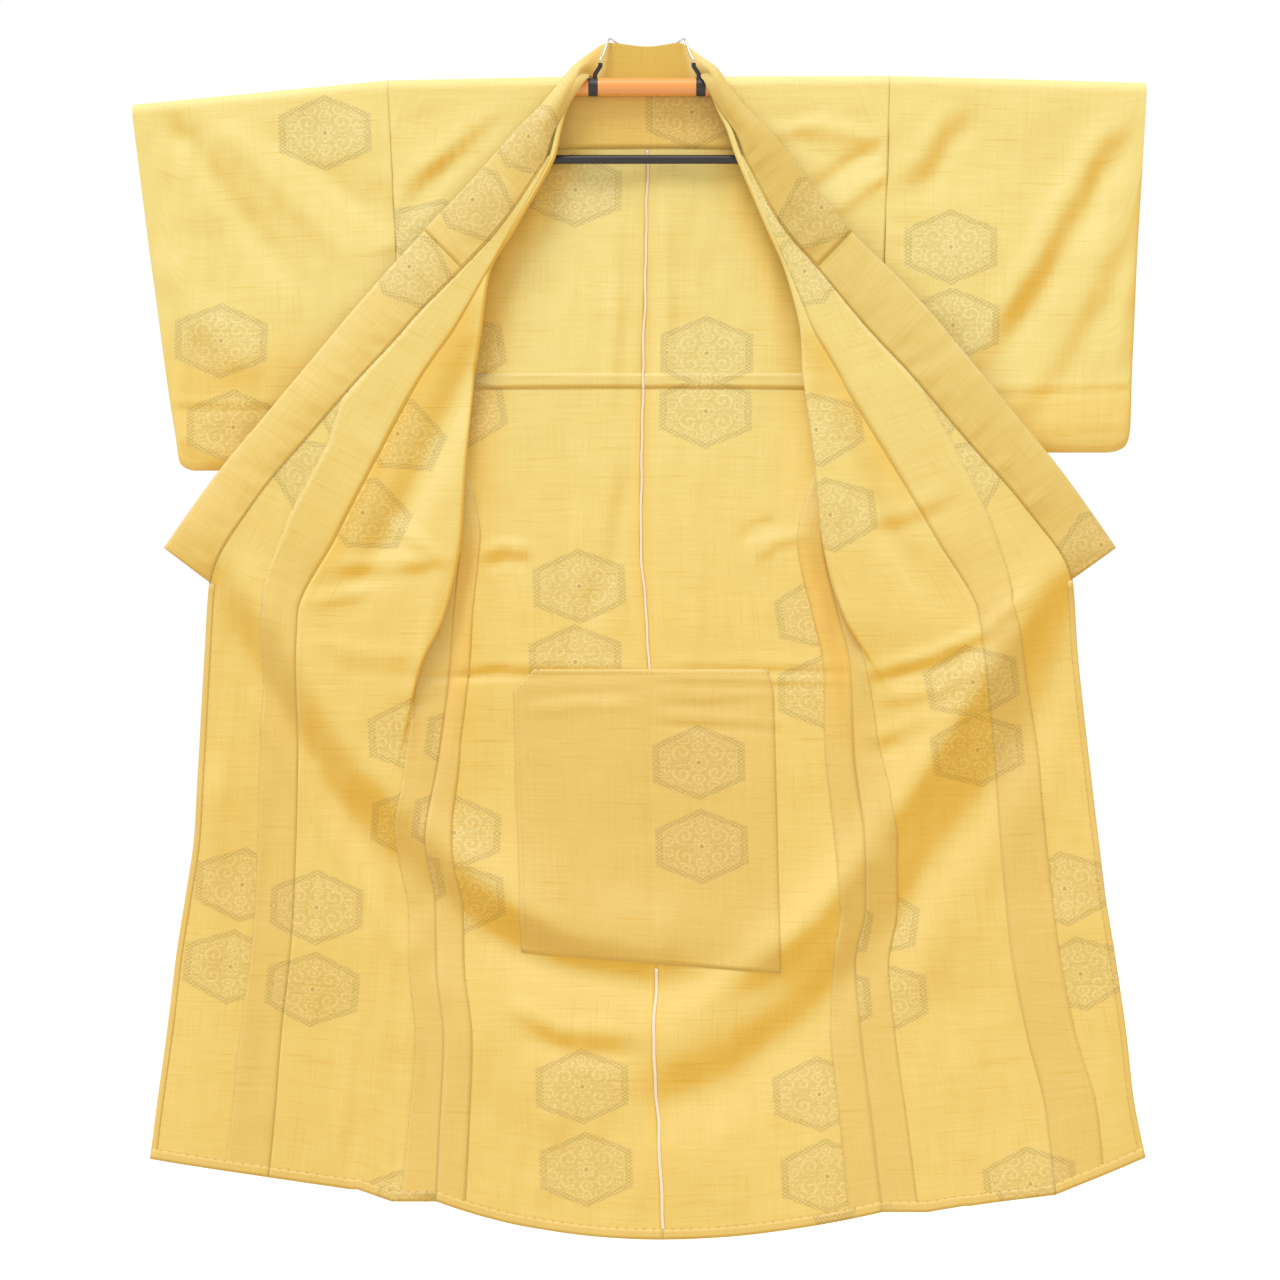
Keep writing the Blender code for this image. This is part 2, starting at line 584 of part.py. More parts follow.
def rod(name, points, radius, look, resolution=4):
    """A round rod through a few points, with flat ends."""
    data = bpy.data.curves.new(name, "CURVE")
    data.dimensions = "3D"
    data.bevel_depth = radius * MM
    data.bevel_resolution = resolution
    data.use_fill_caps = True
    spline = data.splines.new("POLY")
    spline.points.add(len(points) - 1)
    for target, point in zip(spline.points, points):
        target.co = (*place(*point), 1)
    return finish(bpy.data.objects.new(name, data), look)


def cloth_body():
    for side in SIDES:
        rows = section_numbers(0, len(LEVELS) - 1)
        wall(f"back_{side}", [back_section(side, at) for at in rows], CLOTH, KIMONO)
        wall(f"front_{side}", [front_section(side, at) for at in rows], CLOTH, KIMONO)
        okumi_rows = section_numbers(TIP, len(LEVELS) - 1)
        wall(f"okumi_{side}", [okumi_section(side, at) for at in okumi_rows], CLOTH, KIMONO)
        for half, face in (("front", -1), ("back", 1)):
            lines = [sleeve_section(side, column, face) for column in SLEEVE[side]]
            wall(f"sleeve_{side}_{half}", lines, CLOTH, KIMONO)


def collars():
    grid, numbers = collar_grid()
    wall("collar", grid, COLLAR_CLOTH, KIMONO, even=False)
    wrapped = [over_collar_section(points, normals) for points, normals, at in
               zip(grid, grid_normals(grid), numbers) if at <= OVER_COLLAR_END]
    wall("over_collar", wrapped, THIN_CLOTH, KIMONO, even=False, turned_from=OVER_COLLAR_TURN)


def back_overlays():
    """The lining, patch, tucks and tape, each made from the back's own points, moved out."""
    raise_by = CLOTH / 2 + GAP + THIN_CLOTH / 2 + OVERLAY_ROOM
    lining = [across_back(at, raise_by) for at in [LINING_TOP] + section_numbers(SIDE_ROW + 1, TIP)]
    wall("shoulder_lining", lining, THIN_CLOTH, KIMONO)
    patch = [across_back(at, raise_by) for at in section_numbers(PATCH_TOP, PATCH_LOW)]
    wall("seat_lining", patch, THIN_CLOTH, KIMONO)
    forward = Vector((0, raise_by * MM, 0))
    inner = TAPE_WIDTH / 2 + GAP + OVERLAY_ROOM
    for side in SIDES:
        tuck = []
        for at in (TUCK_TOP, TUCK_LOW):
            line = back_section(side, at, end_inset=TUCK_INSET)
            centre = 0 if side == "right" else -1
            line[centre] = back_point(side, at, inner)
            tuck.append([point - forward for point in line])
        wall(f"back_tuck_{side}", tuck, THIN_CLOTH, KIMONO)
    spans = (("upper", [TIP + END_SHARE] + section_numbers(TIP, PATCH_TOP)[1:-1] + [PATCH_TOP - END_SHARE]),
             ("lower", [PATCH_LOW + END_SHARE] + section_numbers(PATCH_LOW, len(LEVELS) - 1)[1:]))
    lift = Vector((0, (CLOTH / 2 + GAP + TAPE_CLOTH / 2 + TAPE_ROOM) * MM, 0))
    for name, rows in spans:
        lines = []
        for at in rows:
            centre = (back_point("left", at, 0) + back_point("right", at, 0)) / 2
            edges = []
            for side in SIDES:
                column = back_columns(side)[1]
                edges.append(centre.lerp(back_point(side, at, column), TAPE_WIDTH / 2 / column))
            lines.append([edges[0] - lift, centre - lift, edges[1] - lift])
        wall(f"centre_tape_{name}", lines, TAPE_CLOTH, TAPE)


def hanger():
    inner = BAND_X - BAND_WIDTH / 2
    outer = BAND_X + BAND_WIDTH / 2
    rod("hanger_bar", [(-inner + GAP, 0, 0), (inner - GAP, 0, 0)], BAR_RADIUS, TUBE, 8)
    rod("obi_bar", [(-OBI_BAR_HALF, 0, OBI_BAR_Z), (OBI_BAR_HALF, 0, OBI_BAR_Z)], OBI_BAR_RADIUS, BLACK)
    for side, sign in SIDES.items():
        rod(f"hanger_ring_{side}", [(sign * inner, 0, 0), (sign * outer, 0, 0)], BAND_RADIUS, BLACK, 8)
        knots = sorted(abs(bend.x) for bend in BAR_LINE if 0 < bend.x * sign < ARM_END[side])
        stops = [outer + GAP] + knots + [ARM_END[side]]
        rod(f"hanger_arm_{side}", [(sign * out, 0, bar_z(sign * out)) for out in stops], BAR_RADIUS, TUBE, 8)
        stem = [(sign * stop.x, stop.y, stop.z) for stop in STEM]
        wire = [(sign * stop.x, stop.y, stop.z) for stop in WIRE_LINE]
        rod(f"hanger_stem_{side}", stem, STEM_RADIUS, BLACK)
        rod(f"hanger_wire_{side}", wire, WIRE_RADIUS, WIRE, 2)
        arm_x = sign * OBI_ARM_X
        arm_ends = [(arm_x, 0, bar_z(arm_x) - BAR_RADIUS - GAP), (arm_x, 0, OBI_BAR_Z + OBI_BAR_RADIUS + GAP)]
        rod(f"obi_arm_{side}", arm_ends, OBI_ARM_RADIUS, BLACK)
    bpy.ops.mesh.primitive_torus_add(major_radius=EYE_MAJOR * MM, minor_radius=EYE_MINOR * MM,
                                     major_segments=24, minor_segments=8, location=place(0, EYE_Y, EYE_Z),
                                     rotation=(math.pi / 2, 0, 0))
    eye = bpy.context.active_object
    eye.name = eye.data.name = "hanger_eye"
    for group in list(eye.users_collection):
        group.objects.unlink(eye)
    finish(eye, WIRE)


for old in list(bpy.data.objects):
    bpy.data.objects.remove(old)
PARTS = collection(NAME)
KIMONO = material("gold_tsumugi", (0.89, 0.69, 0.26), 0.75)
TAPE = material("white_tape", (0.93, 0.90, 0.86), 0.8)
TUBE = material("orange_tube", (0.93, 0.42, 0.16), 0.35)
BLACK = material("black_plastic", (0.02, 0.02, 0.025), 0.4)
WIRE = material("steel_wire", (0.75, 0.75, 0.74), 0.3, 1.0)
cloth_body()
collars()
back_overlays()
hanger()
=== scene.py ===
# %% [markdown]
# # A tsumugi kimono, hung open
#
# The object is an unlined woman's kimono of slubby silk on the straight hanger that such robes are
# kept on. Both fronts and the collar are turned outwards, so the camera sees the inside of the back
# and of both fronts. This file dresses a fixed model of it: every piece of cloth is a thin sheet that
# is laid out by a few tables of seams and folds, and then gets its creases, its seams' allowances,
# its stitches and its woven pattern.

import math
from collections import namedtuple
from functools import partial

import bpy
import numpy as np
from mathutils import Matrix, Vector
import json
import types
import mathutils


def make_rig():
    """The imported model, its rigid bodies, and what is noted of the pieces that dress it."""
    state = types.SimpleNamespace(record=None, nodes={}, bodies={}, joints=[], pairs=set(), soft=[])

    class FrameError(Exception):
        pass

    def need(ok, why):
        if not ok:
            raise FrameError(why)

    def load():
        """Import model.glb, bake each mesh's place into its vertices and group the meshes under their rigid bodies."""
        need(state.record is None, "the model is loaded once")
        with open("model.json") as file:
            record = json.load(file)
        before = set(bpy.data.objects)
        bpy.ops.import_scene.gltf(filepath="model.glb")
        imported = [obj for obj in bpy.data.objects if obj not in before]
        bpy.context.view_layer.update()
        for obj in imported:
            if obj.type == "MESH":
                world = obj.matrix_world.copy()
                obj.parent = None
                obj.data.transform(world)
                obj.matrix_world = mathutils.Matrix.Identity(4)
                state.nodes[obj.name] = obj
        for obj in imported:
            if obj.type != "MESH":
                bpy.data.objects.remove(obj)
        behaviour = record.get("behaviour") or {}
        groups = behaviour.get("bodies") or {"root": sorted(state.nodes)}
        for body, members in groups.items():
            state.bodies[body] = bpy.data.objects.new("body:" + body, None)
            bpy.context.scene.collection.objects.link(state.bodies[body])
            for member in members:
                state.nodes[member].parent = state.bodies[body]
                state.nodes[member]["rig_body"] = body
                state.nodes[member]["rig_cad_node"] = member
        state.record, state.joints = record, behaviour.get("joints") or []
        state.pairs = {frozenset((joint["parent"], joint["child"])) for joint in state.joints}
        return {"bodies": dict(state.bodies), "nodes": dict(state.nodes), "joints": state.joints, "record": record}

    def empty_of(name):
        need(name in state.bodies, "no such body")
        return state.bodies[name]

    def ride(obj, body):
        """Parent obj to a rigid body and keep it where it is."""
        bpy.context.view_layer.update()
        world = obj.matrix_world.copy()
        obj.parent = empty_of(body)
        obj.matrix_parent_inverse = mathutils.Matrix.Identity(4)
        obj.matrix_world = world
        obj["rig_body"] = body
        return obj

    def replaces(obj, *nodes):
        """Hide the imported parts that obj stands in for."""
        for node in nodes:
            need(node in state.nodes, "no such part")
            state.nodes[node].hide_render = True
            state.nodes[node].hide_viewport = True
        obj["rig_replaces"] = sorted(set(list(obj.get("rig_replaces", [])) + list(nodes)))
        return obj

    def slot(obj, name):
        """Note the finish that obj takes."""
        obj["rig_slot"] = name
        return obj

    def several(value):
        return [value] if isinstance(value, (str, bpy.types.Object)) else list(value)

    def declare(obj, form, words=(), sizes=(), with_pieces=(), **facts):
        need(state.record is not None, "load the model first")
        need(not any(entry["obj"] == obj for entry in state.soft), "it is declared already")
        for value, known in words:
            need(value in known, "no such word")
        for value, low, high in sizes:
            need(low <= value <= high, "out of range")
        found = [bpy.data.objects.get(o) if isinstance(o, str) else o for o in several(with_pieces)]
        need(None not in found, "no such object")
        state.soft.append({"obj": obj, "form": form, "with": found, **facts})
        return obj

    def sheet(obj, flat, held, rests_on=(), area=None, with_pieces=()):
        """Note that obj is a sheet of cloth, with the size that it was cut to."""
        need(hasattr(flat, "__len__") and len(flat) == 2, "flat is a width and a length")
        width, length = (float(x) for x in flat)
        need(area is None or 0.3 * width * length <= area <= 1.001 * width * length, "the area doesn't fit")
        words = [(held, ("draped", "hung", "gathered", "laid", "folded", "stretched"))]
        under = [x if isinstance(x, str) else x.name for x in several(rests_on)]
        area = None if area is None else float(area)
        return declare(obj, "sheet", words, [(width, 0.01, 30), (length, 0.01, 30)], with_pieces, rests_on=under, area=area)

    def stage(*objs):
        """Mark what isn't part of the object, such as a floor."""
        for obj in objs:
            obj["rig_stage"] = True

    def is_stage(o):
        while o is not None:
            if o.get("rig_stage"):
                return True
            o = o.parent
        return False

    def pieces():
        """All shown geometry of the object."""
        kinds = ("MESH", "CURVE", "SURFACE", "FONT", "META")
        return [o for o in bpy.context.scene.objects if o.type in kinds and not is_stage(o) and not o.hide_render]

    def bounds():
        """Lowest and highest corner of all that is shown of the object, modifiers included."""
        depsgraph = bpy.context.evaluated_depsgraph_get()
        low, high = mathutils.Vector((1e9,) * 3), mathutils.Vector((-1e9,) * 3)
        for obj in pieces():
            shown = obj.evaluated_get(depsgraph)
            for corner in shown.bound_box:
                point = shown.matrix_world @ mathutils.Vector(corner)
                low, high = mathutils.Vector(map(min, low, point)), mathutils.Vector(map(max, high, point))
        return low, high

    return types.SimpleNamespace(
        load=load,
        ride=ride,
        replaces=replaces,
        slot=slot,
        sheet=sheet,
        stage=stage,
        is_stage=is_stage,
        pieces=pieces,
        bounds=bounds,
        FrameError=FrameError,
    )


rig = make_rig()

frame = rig.load()
cad_low, cad_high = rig.bounds()
print("frame:", len(frame["nodes"]), "nodes, box", [round(v, 3) for v in (*cad_low, *cad_high)])

# %% [markdown]
# ## Sizes and tables
#
# Sizes are in millimetres from the axis of the hanger bar: x to the viewer's right, z up, depth
# towards the viewer. A row of a table is one section across the garment, from the shoulder's crest
# to the hem, and its columns are the seams and folds that a dressmaker would name. The tables are
# the same as the fixed model's, so every sheet lies in its own solid.

# %% Sizes
MM = 0.001
PICTURE_SIZE = 1280     # units of the picture's square on each side
PICTURE = 1.325         # millimetres of the garment per unit of the picture
PICTURE_X, PICTURE_Z = 647, 86      # where the middle of the bar is in the picture
GAP = 0.3               # air between two pieces of the hanger
SIDES = {"left": -1, "right": 1}
SHEET = 0.5             # visible thickness of one layer of cloth
CLOTH = 1.2             # thickness of one layer in the fixed model
ROW_STEP = 5.5          # from one row of points to the next, down the cloth

def rows_of(kind, *rows):
    """A table whose rows are named tuples of one kind."""
    return tuple(kind(*row) for row in rows)

# %% Hanger sizes and section numbers
BAR_RADIUS = 12.0
BAND_RADIUS = 12.2
BAND_X = 71.5
BAND_WIDTH = 12.0
ARM_END = {"left": 668.0, "right": 648.0}
OBI_BAR_RADIUS = 6.0
OBI_BAR_Z = -96.0
OBI_BAR_HALF = 160.0
OBI_ARM_X = 152.0
OBI_ARM_RADIUS = 3.0
STEM_RADIUS = 3.0
WIRE_RADIUS = 1.4
EYE_MAJOR = 7.5
EYE_MINOR = 1.6
EYE_Y = 42.0
EYE_Z = 48.6
HOOK_Z = EYE_Z + EYE_MAJOR - EYE_MINOR
RING_STEM_Z = 12.5     # just above the ring

# Each side's stem on its ring, and the wire that leads from it back and up, then forward to the eye
STEM = ((69, 0, RING_STEM_Z), (69, 0, 17), (62, 1, 28), (62, 1, 32))
WIRE_LINE = ((62, 1, 32.3), (62, 1, 35), (58, 6, 44), (53, 15, 59), (51, 20, 65), (49, 27, 67.5),
             (45, 35, 66), (36, 40, 61), (24, 42, 55), (10, 42, 49))

COLLAR_STAND = 1.8     # room beside the turned front where the collar stands up from it
HANG = 13.3            # middle of the cloth from the bar's axis where it hangs over the bar
VALLEY_RADIUS = 3.0
SLEEVE_LIP = 1.8       # half the opening at a sleeve's sewn bottom
NECK = {"left": 84.0, "right": 79.0}
PATCH = {"left": 177.0, "right": 171.0}

# Numbers of the sections where something begins or ends
SIDE_ROW = 3
TIP = 6
OVER_COLLAR_END = 8
SLIT_END = 9
TUCK_TOP = 11
TUCK_LOW = 12
FRONT_BAND_TOP = 14
COLLAR_END = 15
PATCH_TOP = 16
PATCH_LOW = 20

# %% The bar's line and the cloth's sections
# Height of the bar's axis along its length, because the arms bend a little under the cloth
Bend = namedtuple("Bend", "x z")
BAR_LINE = rows_of(Bend, (-690, -38), (-343, -5), (-100, 0), (100, 0), (322, 1), (690, -9))

# One row for each section, from the shoulder's crest to the hem: height, place of the centre seam
# and distance from the bar on the back
Level = namedtuple("Level", "back_z centre_x back_y")
LEVELS = rows_of(
    Level,
    (0, 0, 13.3), (0, 0, 13.3), (0, 0, 13.3), (0, 0, 13.3), (-33, 0, 13.3), (-58, 1, 13.3),
    (-80, 1, 13.3), (-185, -1, 13.3), (-250, -2, 13.3), (-325, -4, 13.3), (-352, -5, 13.3),
    (-379, -5, 13.3), (-399, -5, 13.3), (-505, -7, 13), (-600, -8, 12), (-700, -1, 10), (-773, 3, 9),
    (-889, 8, 9), (-998, 11, 10), (-1090, 13, 10), (-1166, 13, 9), (-1267, 9, 8), (-1395, 16, 7),
    (-1531, 22, 7),
)

# %% Front widths
# Front widths, as distances out from the centre: the side seam, the valley and the roll where the
# cloth turns back, and the seam to the overlap panel
Front = namedtuple("Front", "side side_z side_depth valley valley_depth valley_turn "
                            "roll roll_z roll_depth roll_radius roll_turn seam seam_z seam_depth")
FRONT = {
    "left": rows_of(
        Front,
        (343, 0, 13.3, 335, 13.3, 0, 84, 0, 15.5, 2.2, 1, 89, 0, 17.7),
        (343, 0, 13.3, 335, 13.3, 0, 84, 0, 15.5, 2.2, 1, 89, 0, 17.7),
        (343, 0, 13.3, 335, 13.3, 0, 85, 0, 15.5, 2.2, 1, 90, 0, 17.7),
        (343, 0, 13.3, 335, 13.3, 0, 88, 0, 15.5, 2.2, 1, 93, 0, 17.7),
        (341.4, -33, 13.3, 333, 13.3, 0, 106, -33, 16.1, 2.8, 1, 112, -33, 18.9),
        (340.2, -58, 13.3, 332, 13.3, 0, 113, -58, 16.9, 3.6, 1, 120, -58, 20.5),
        (338.6, -91, 13.3, 330, 13.3, 0, 120, -91, 17.7, 4.4, 1, 128, -92, 22.1),
        (334, -185, 13.3, 325, 13.3, 0, 171, -185, 18.3, 5, 1, 179, -188, 23.3),
        (330.9, -250, 13.3, 321, 13.3, 0, 208, -250, 18.3, 5, 1, 216, -254, 23.3),
        (318, -325, 13.3, 300, 13.3, 0, 219, -325, 18.3, 5, 1, 259, -329, 24),
        (309, -352, 4, 308, 9, 0.5, 223, -352, 17.4, 5, 1, 277, -354, 24),
        (302, -379, -2, 308, 1, 1, 228, -379, 16.5, 5, 1, 295, -380, 24),
        (297, -402, -2, 304, 1, 1, 230, -402, 16.5, 5, 1, 310, -405, 24),
        (271, -505, -2, 280, 1, 1, 240, -505, 15.5, 5, 1, 364, -506, 23),
        (250, -600, -2, 264, 1, 1, 246, -600, 13.5, 5, 1, 413, -600, 21),
        (258, -700, -3, 294, 0, 1, 268, -700, 11, 4, 1, 463, -700, 16),
        (262, -773, -3, 314, 0, 1, 301, -773, 9.5, 3.5, 1, 465, -773, 13),
        (276, -889, -3, 306, 1, 0.2, 328, -889, 5, 3, 0.2, 464, -889, 9),
        (294, -998, -4, 330, -2, 0, 372, -998, 1, 3, 0, 466, -998, 5),
        (281, -1090, -4, 327, -2, 0, 373, -1088, 1, 3, 0, 469, -1085, 4),
        (280, -1166, -4, 328, -2, 0, 374, -1162, 1, 3, 0, 474, -1155, 4),
        (270, -1267, -4, 323, -2, 0, 376, -1260, 1, 3, 0, 485, -1250, 4),
        (275, -1380, -5, 330, -3, 0, 384, -1370, 0, 3, 0, 493, -1352, 4),
        (280, -1480, -5, 335, -3, 0, 390, -1464, 0, 3, 0, 502, -1447, 4),
    ),
    "right": rows_of(
        Front,
        (322, 0, 13.3, 314, 13.3, 0, 79, 0, 15.5, 2.2, 1, 84, 0, 17.7),
        (322, 0, 13.3, 314, 13.3, 0, 79, 0, 15.5, 2.2, 1, 84, 0, 17.7),
        (322, 0, 13.3, 314, 13.3, 0, 79, 0, 15.5, 2.2, 1, 84, 0, 17.7),
        (322, 0, 13.3, 314, 13.3, 0, 80, 0, 15.5, 2.2, 1, 85, 0, 17.7),
        (321, -33, 13.3, 313, 13.3, 0, 93, -33, 16.1, 2.8, 1, 99, -33, 18.9),
        (320.3, -58, 13.3, 312, 13.3, 0, 105, -58, 16.9, 3.6, 1, 112, -58, 20.5),
        (319.3, -91, 13.3, 311, 13.3, 0, 116, -91, 17.7, 4.4, 1, 124, -92, 22.1),
        (316.6, -185, 13.3, 308, 13.3, 0, 156, -185, 18.3, 5, 1, 164, -188, 23.3),
        (314.7, -250, 13.3, 305, 13.3, 0, 184, -250, 18.3, 5, 1, 192, -254, 23.3),
        (302, -325, 13.3, 285, 13.3, 0, 203, -325, 18.3, 5, 1, 223, -329, 24),
        (295, -352, 4, 294, 9, 0.5, 205, -352, 17.4, 5, 1, 238, -354, 24),
        (288, -379, -2, 294, 1, 1, 206, -379, 16.5, 5, 1, 253, -380, 24),
        (283, -402, -2, 290, 1, 1, 209, -402, 16.5, 5, 1, 266, -405, 24),
        (258, -505, -2, 267, 1, 1, 223, -505, 15.5, 5, 1, 327, -506, 23),
        (235, -600, -2, 248, 1, 1, 232, -600, 13.5, 5, 1, 385, -603, 21),
        (255, -700, -3, 278, 0, 1, 260, -700, 11, 4, 1, 440, -700, 16),
        (271, -773, -3, 287, 0, 0.3, 303, -773, 7, 3.5, 0.3, 449, -773, 13),
        (276, -889, -3, 320, -1, 0, 365, -889, 3, 3, 0, 463, -889, 9),
        (289, -998, -4, 330, -2, 0, 372, -998, 1, 3, 0, 470, -998, 5),
        (291, -1090, -4, 333, -2, 0, 378, -1088, 1, 3, 0, 478, -1085, 4),
        (278, -1166, -4, 330, -2, 0, 378, -1164, 1, 3, 0, 486, -1160, 4),
        (286, -1267, -4, 340, -2, 0, 392, -1265, 1, 3, 0, 506, -1262, 4),
        (300, -1380, -5, 355, -3, 0, 410, -1375, 0, 3, 0, 531, -1365, 4),
        (313, -1494, -5, 368, -3, 0, 425, -1486, 0, 3, 0, 542, -1470, 4),
    ),
}

# %% Overlap edges and collar
# Outer edge of the overlap panel, which is the collar's seam down to the collar's end
Edge = namedtuple("Edge", "out z depth")
EDGE = {
    "left": rows_of(
        Edge,
        (131, -94, 22.4), (196, -189, 25), (246, -243, 26), (308, -306, 27), (327, -328, 27),
        (347, -350, 27), (367, -371, 27), (447, -462, 27), (521, -551, 26), (580, -658, 20),
        (587, -760, 14), (594, -889, 9), (600, -995, 6), (612, -1075, 5), (624, -1150, 5),
        (636, -1250, 5), (649, -1345, 5), (659, -1422, 5),
    ),
    "right": rows_of(
        Edge,
        (127, -94, 22.4), (181, -189, 25), (226, -241, 26), (287, -315, 27), (306, -336, 27),
        (326, -357, 27), (346, -378, 27), (425, -471, 27), (501, -558, 26), (563, -654, 20),
        (572, -760, 14), (586, -889, 9), (598, -992, 6), (608, -1075, 5), (621, -1155, 5),
        (636, -1262, 5), (645, -1342, 5), (661, -1420, 5),
    ),
}

# Free edge of the collar from the shoulder's crest to its end, and how far the band arches
Free = namedtuple("Free", "out z depth crown")
FREE = {
    "left": rows_of(
        Free,
        (85, 40, -14, 4), (89, 35, -6, 4), (97, 28, 3, 5), (107, 15, 14, 5), (127, -12, 22, 6),
        (142, -30, 24, 6), (161, -49, 26, 4), (241, -138, 28, 3), (294, -193, 28, 3),
        (359, -264, 29, 3), (379, -287, 29, 3), (399, -310, 29, 3), (418, -333, 29, 3),
        (497, -428, 29, 3), (568, -513, 28, 3), (639, -612, 24, 2),
    ),
    "right": rows_of(
        Free,
        (78, 38, -14, 4), (82, 33, -6, 4), (90, 27, 3, 5), (99, 15, 14, 5), (115, -12, 22, 6),
        (133, -33, 24, 6), (160, -60, 26, 4), (228, -146, 28, 3), (270, -194, 28, 3),
        (338, -260, 29, 3), (358, -282, 29, 3), (379, -305, 29, 3), (397, -327, 29, 3),
        (475, -421, 29, 3), (552, -516, 28, 3), (620, -612, 24, 2),
    ),
}

# The collar round the back neck: x, distance behind the bar and height of its seam and free edge
Neck = namedtuple("Neck", "seam_x seam_y seam_z free_x free_y free_z crown")
BACK_NECK = rows_of(
    Neck,
    (-79, 8.5, 16.5, -69, 24, 52, 3), (-62, 15, 6.5, -53, 28, 62, 0), (-30, 15.5, 5, -27, 29, 59, 0),
    (0, 15.5, 5, 0, 30, 56, 0), (30, 15.5, 5, 25, 29, 59, 0), (56, 15, 6.5, 45, 28, 62, 0),
    (74, 8.5, 16.5, 60, 24, 51, 3),
)

# %% Sleeves and large folds
# Sleeves, inner edge to cuff: place on the crest, and the point of the lower edge under it
Sleeve = namedtuple("Sleeve", "top low low_z")
SLEEVE = {
    "left": rows_of(
        Sleeve,
        (343, 318, -509), (395, 380, -509), (445, 440, -509), (495, 498, -509), (540, 552, -509),
        (578, 598, -509), (606, 619, -500), (632, 626, -460), (654, 634, -410), (670, 645, -330),
        (682, 656, -246),
    ),
    "right": rows_of(
        Sleeve,
        (322, 307.7, -485), (375, 370, -485), (425, 430, -485), (475, 490, -485), (520, 550, -485),
        (558, 608, -485), (588, 633, -478), (612, 641, -455), (633, 643, -390), (649, 647, -300),
        (662, 650, -217),
    ),
}
# Way down a sleeve below the bar, and its depth there as a share of the depth over the bar
SLEEVE_SHARES = (0, 0.15, 0.46, 0.65, 0.82, 0.94, 0.985, 1)
SLEEVE_DEPTHS = (1, 1, 0.97, 0.8, 0.65, 0.5, 0.34)

# A fold: how far it stands out, its half width, and the points of the line that it follows
Fold = namedtuple("Fold", "height width line")

def folds_of(*rows):
    return tuple(Fold(height, width, line) for height, width, *line in rows)

# The robe sags between its two raised front edges, so a crest and the valley under it cross it like
# a swag. These are the largest folds, in millimetres from the bar.
LARGE_FOLDS = folds_of(
    (8, 52, (-526, -668), (-436, -800), (-364, -913), (-288, -996), (-195, -1059), (-76, -1112),
     (17, -1132)),
    (-8, 45, (-576, -668), (-533, -780), (-460, -913), (-370, -1039), (-285, -1118), (-168, -1155),
     (11, -1191), (150, -1187)),
    (8, 52, (521, -641), (448, -747), (382, -867), (322, -966), (256, -1065), (176, -1145),
     (97, -1211), (44, -1264)),
    (-8, 45, (560, -681), (514, -807), (468, -900), (401, -992), (335, -1112), (269, -1200),
     (203, -1267), (123, -1328), (28, -1359)),
    (-6, 55, (-420, -1250), (-400, -1480)),
    (-7, 60, (430, -1230), (470, -1490)),
    (6, 50, (-590, -950), (-600, -1440)),
    (6, 50, (585, -930), (620, -1440)),
)
RELIEF_TOP = -560.0
RELIEF_FULL = -700.0
print("sections:", len(LEVELS), "from the shoulder to the hem")

# %% [markdown]
# ## Reading a table between its rows
#
# Cloth has no corners between two measured sections, so values between rows lie on a smooth line.
# A plain cubic would overshoot and make ripples of its own. This one takes the harmonic mean of the
# neighbouring slopes, so it never leaves the range of its rows.

# %% Smooth values between rows
def mix(a, b, t):
    return a + (b - a) * t

def ramp(value, none, full):
    """0 up to one value, 1 from another on, straight between them; either may be the higher one."""
    return np.clip((value - none) / (full - none), 0, 1)

def smooth(t):
    t = np.clip(t, 0, 1)
    return t * t * (3 - 2 * t)

def between(rows, at):
    last = len(rows) - 1
    low = min(int(at), last - 1)
    t = at - low
    if t < 1e-9:
        return rows[low]
    if t > 1 - 1e-9:
        return rows[low + 1]
    ease = smooth(t)
    values = []
    for column in range(len(rows[0])):
        value = [rows[min(max(k, 0), last)][column] for k in range(low - 1, low + 3)]
        step = [value[k + 1] - value[k] for k in range(3)]
        slope = [2 * a * b / (a + b) if a * b > 0 else 0.0 for a, b in zip(step, step[1:])]
        values.append(value[1] + ease * step[1] + slope[0] * t * (1 - t) ** 2 - slope[1] * t * t * (1 - t))
    return type(rows[0])(*values)

def bar_z(x):
    for a, b in zip(BAR_LINE, BAR_LINE[1:]):
        if x <= b.x:
            return mix(a.z, b.z, (x - a.x) / (b.x - a.x))
    return BAR_LINE[-1].z

CREST_STEPS = (2, 4, 5)     # rows of points in each section on the crest

def fine_rows(first, last):
    """Section numbers close enough together for smooth folds."""
    numbers = []
    for level in range(first, last):
        drop = LEVELS[level].back_z - LEVELS[level + 1].back_z
        count = CREST_STEPS[level] if level < SIDE_ROW else max(1, round(drop / ROW_STEP))
        numbers += [level + k / count for k in range(count)]
    return numbers + [last]

LAST = len(LEVELS) - 1
print("rows of one back width:", len(fine_rows(0, LAST)))

# %% [markdown]
# ## Hanging over the bar
#
# Every width of cloth goes over the hanger's bar once. The first sections are angles round the bar,
# and all others simply hang. The front half laps a hair over the back half on the crest, so that no
# light shows through where the two sheets meet.

# %% A point of hanging cloth
BAR_ANGLES = (0.6, 13.5, 47.5, 90)
LAP_ANGLE = -3.0
LAP_DEPTH = 0.4        # how much farther out the front half lies on the crest

def hang(x, z, depth, row, face):
    if row < SIDE_ROW:
        low = int(row)
        first = LAP_ANGLE if face < 0 and low == 0 else BAR_ANGLES[low]
        angle = math.radians(mix(first, BAR_ANGLES[low + 1], row - low))
        if face < 0:
            depth += LAP_DEPTH * max(0.0, 1 - row)
        return x, face * depth * math.sin(angle), bar_z(x) + depth * math.cos(angle)
    return x, face * depth, z + bar_z(x) * max(0.0, 1 + z / 100)

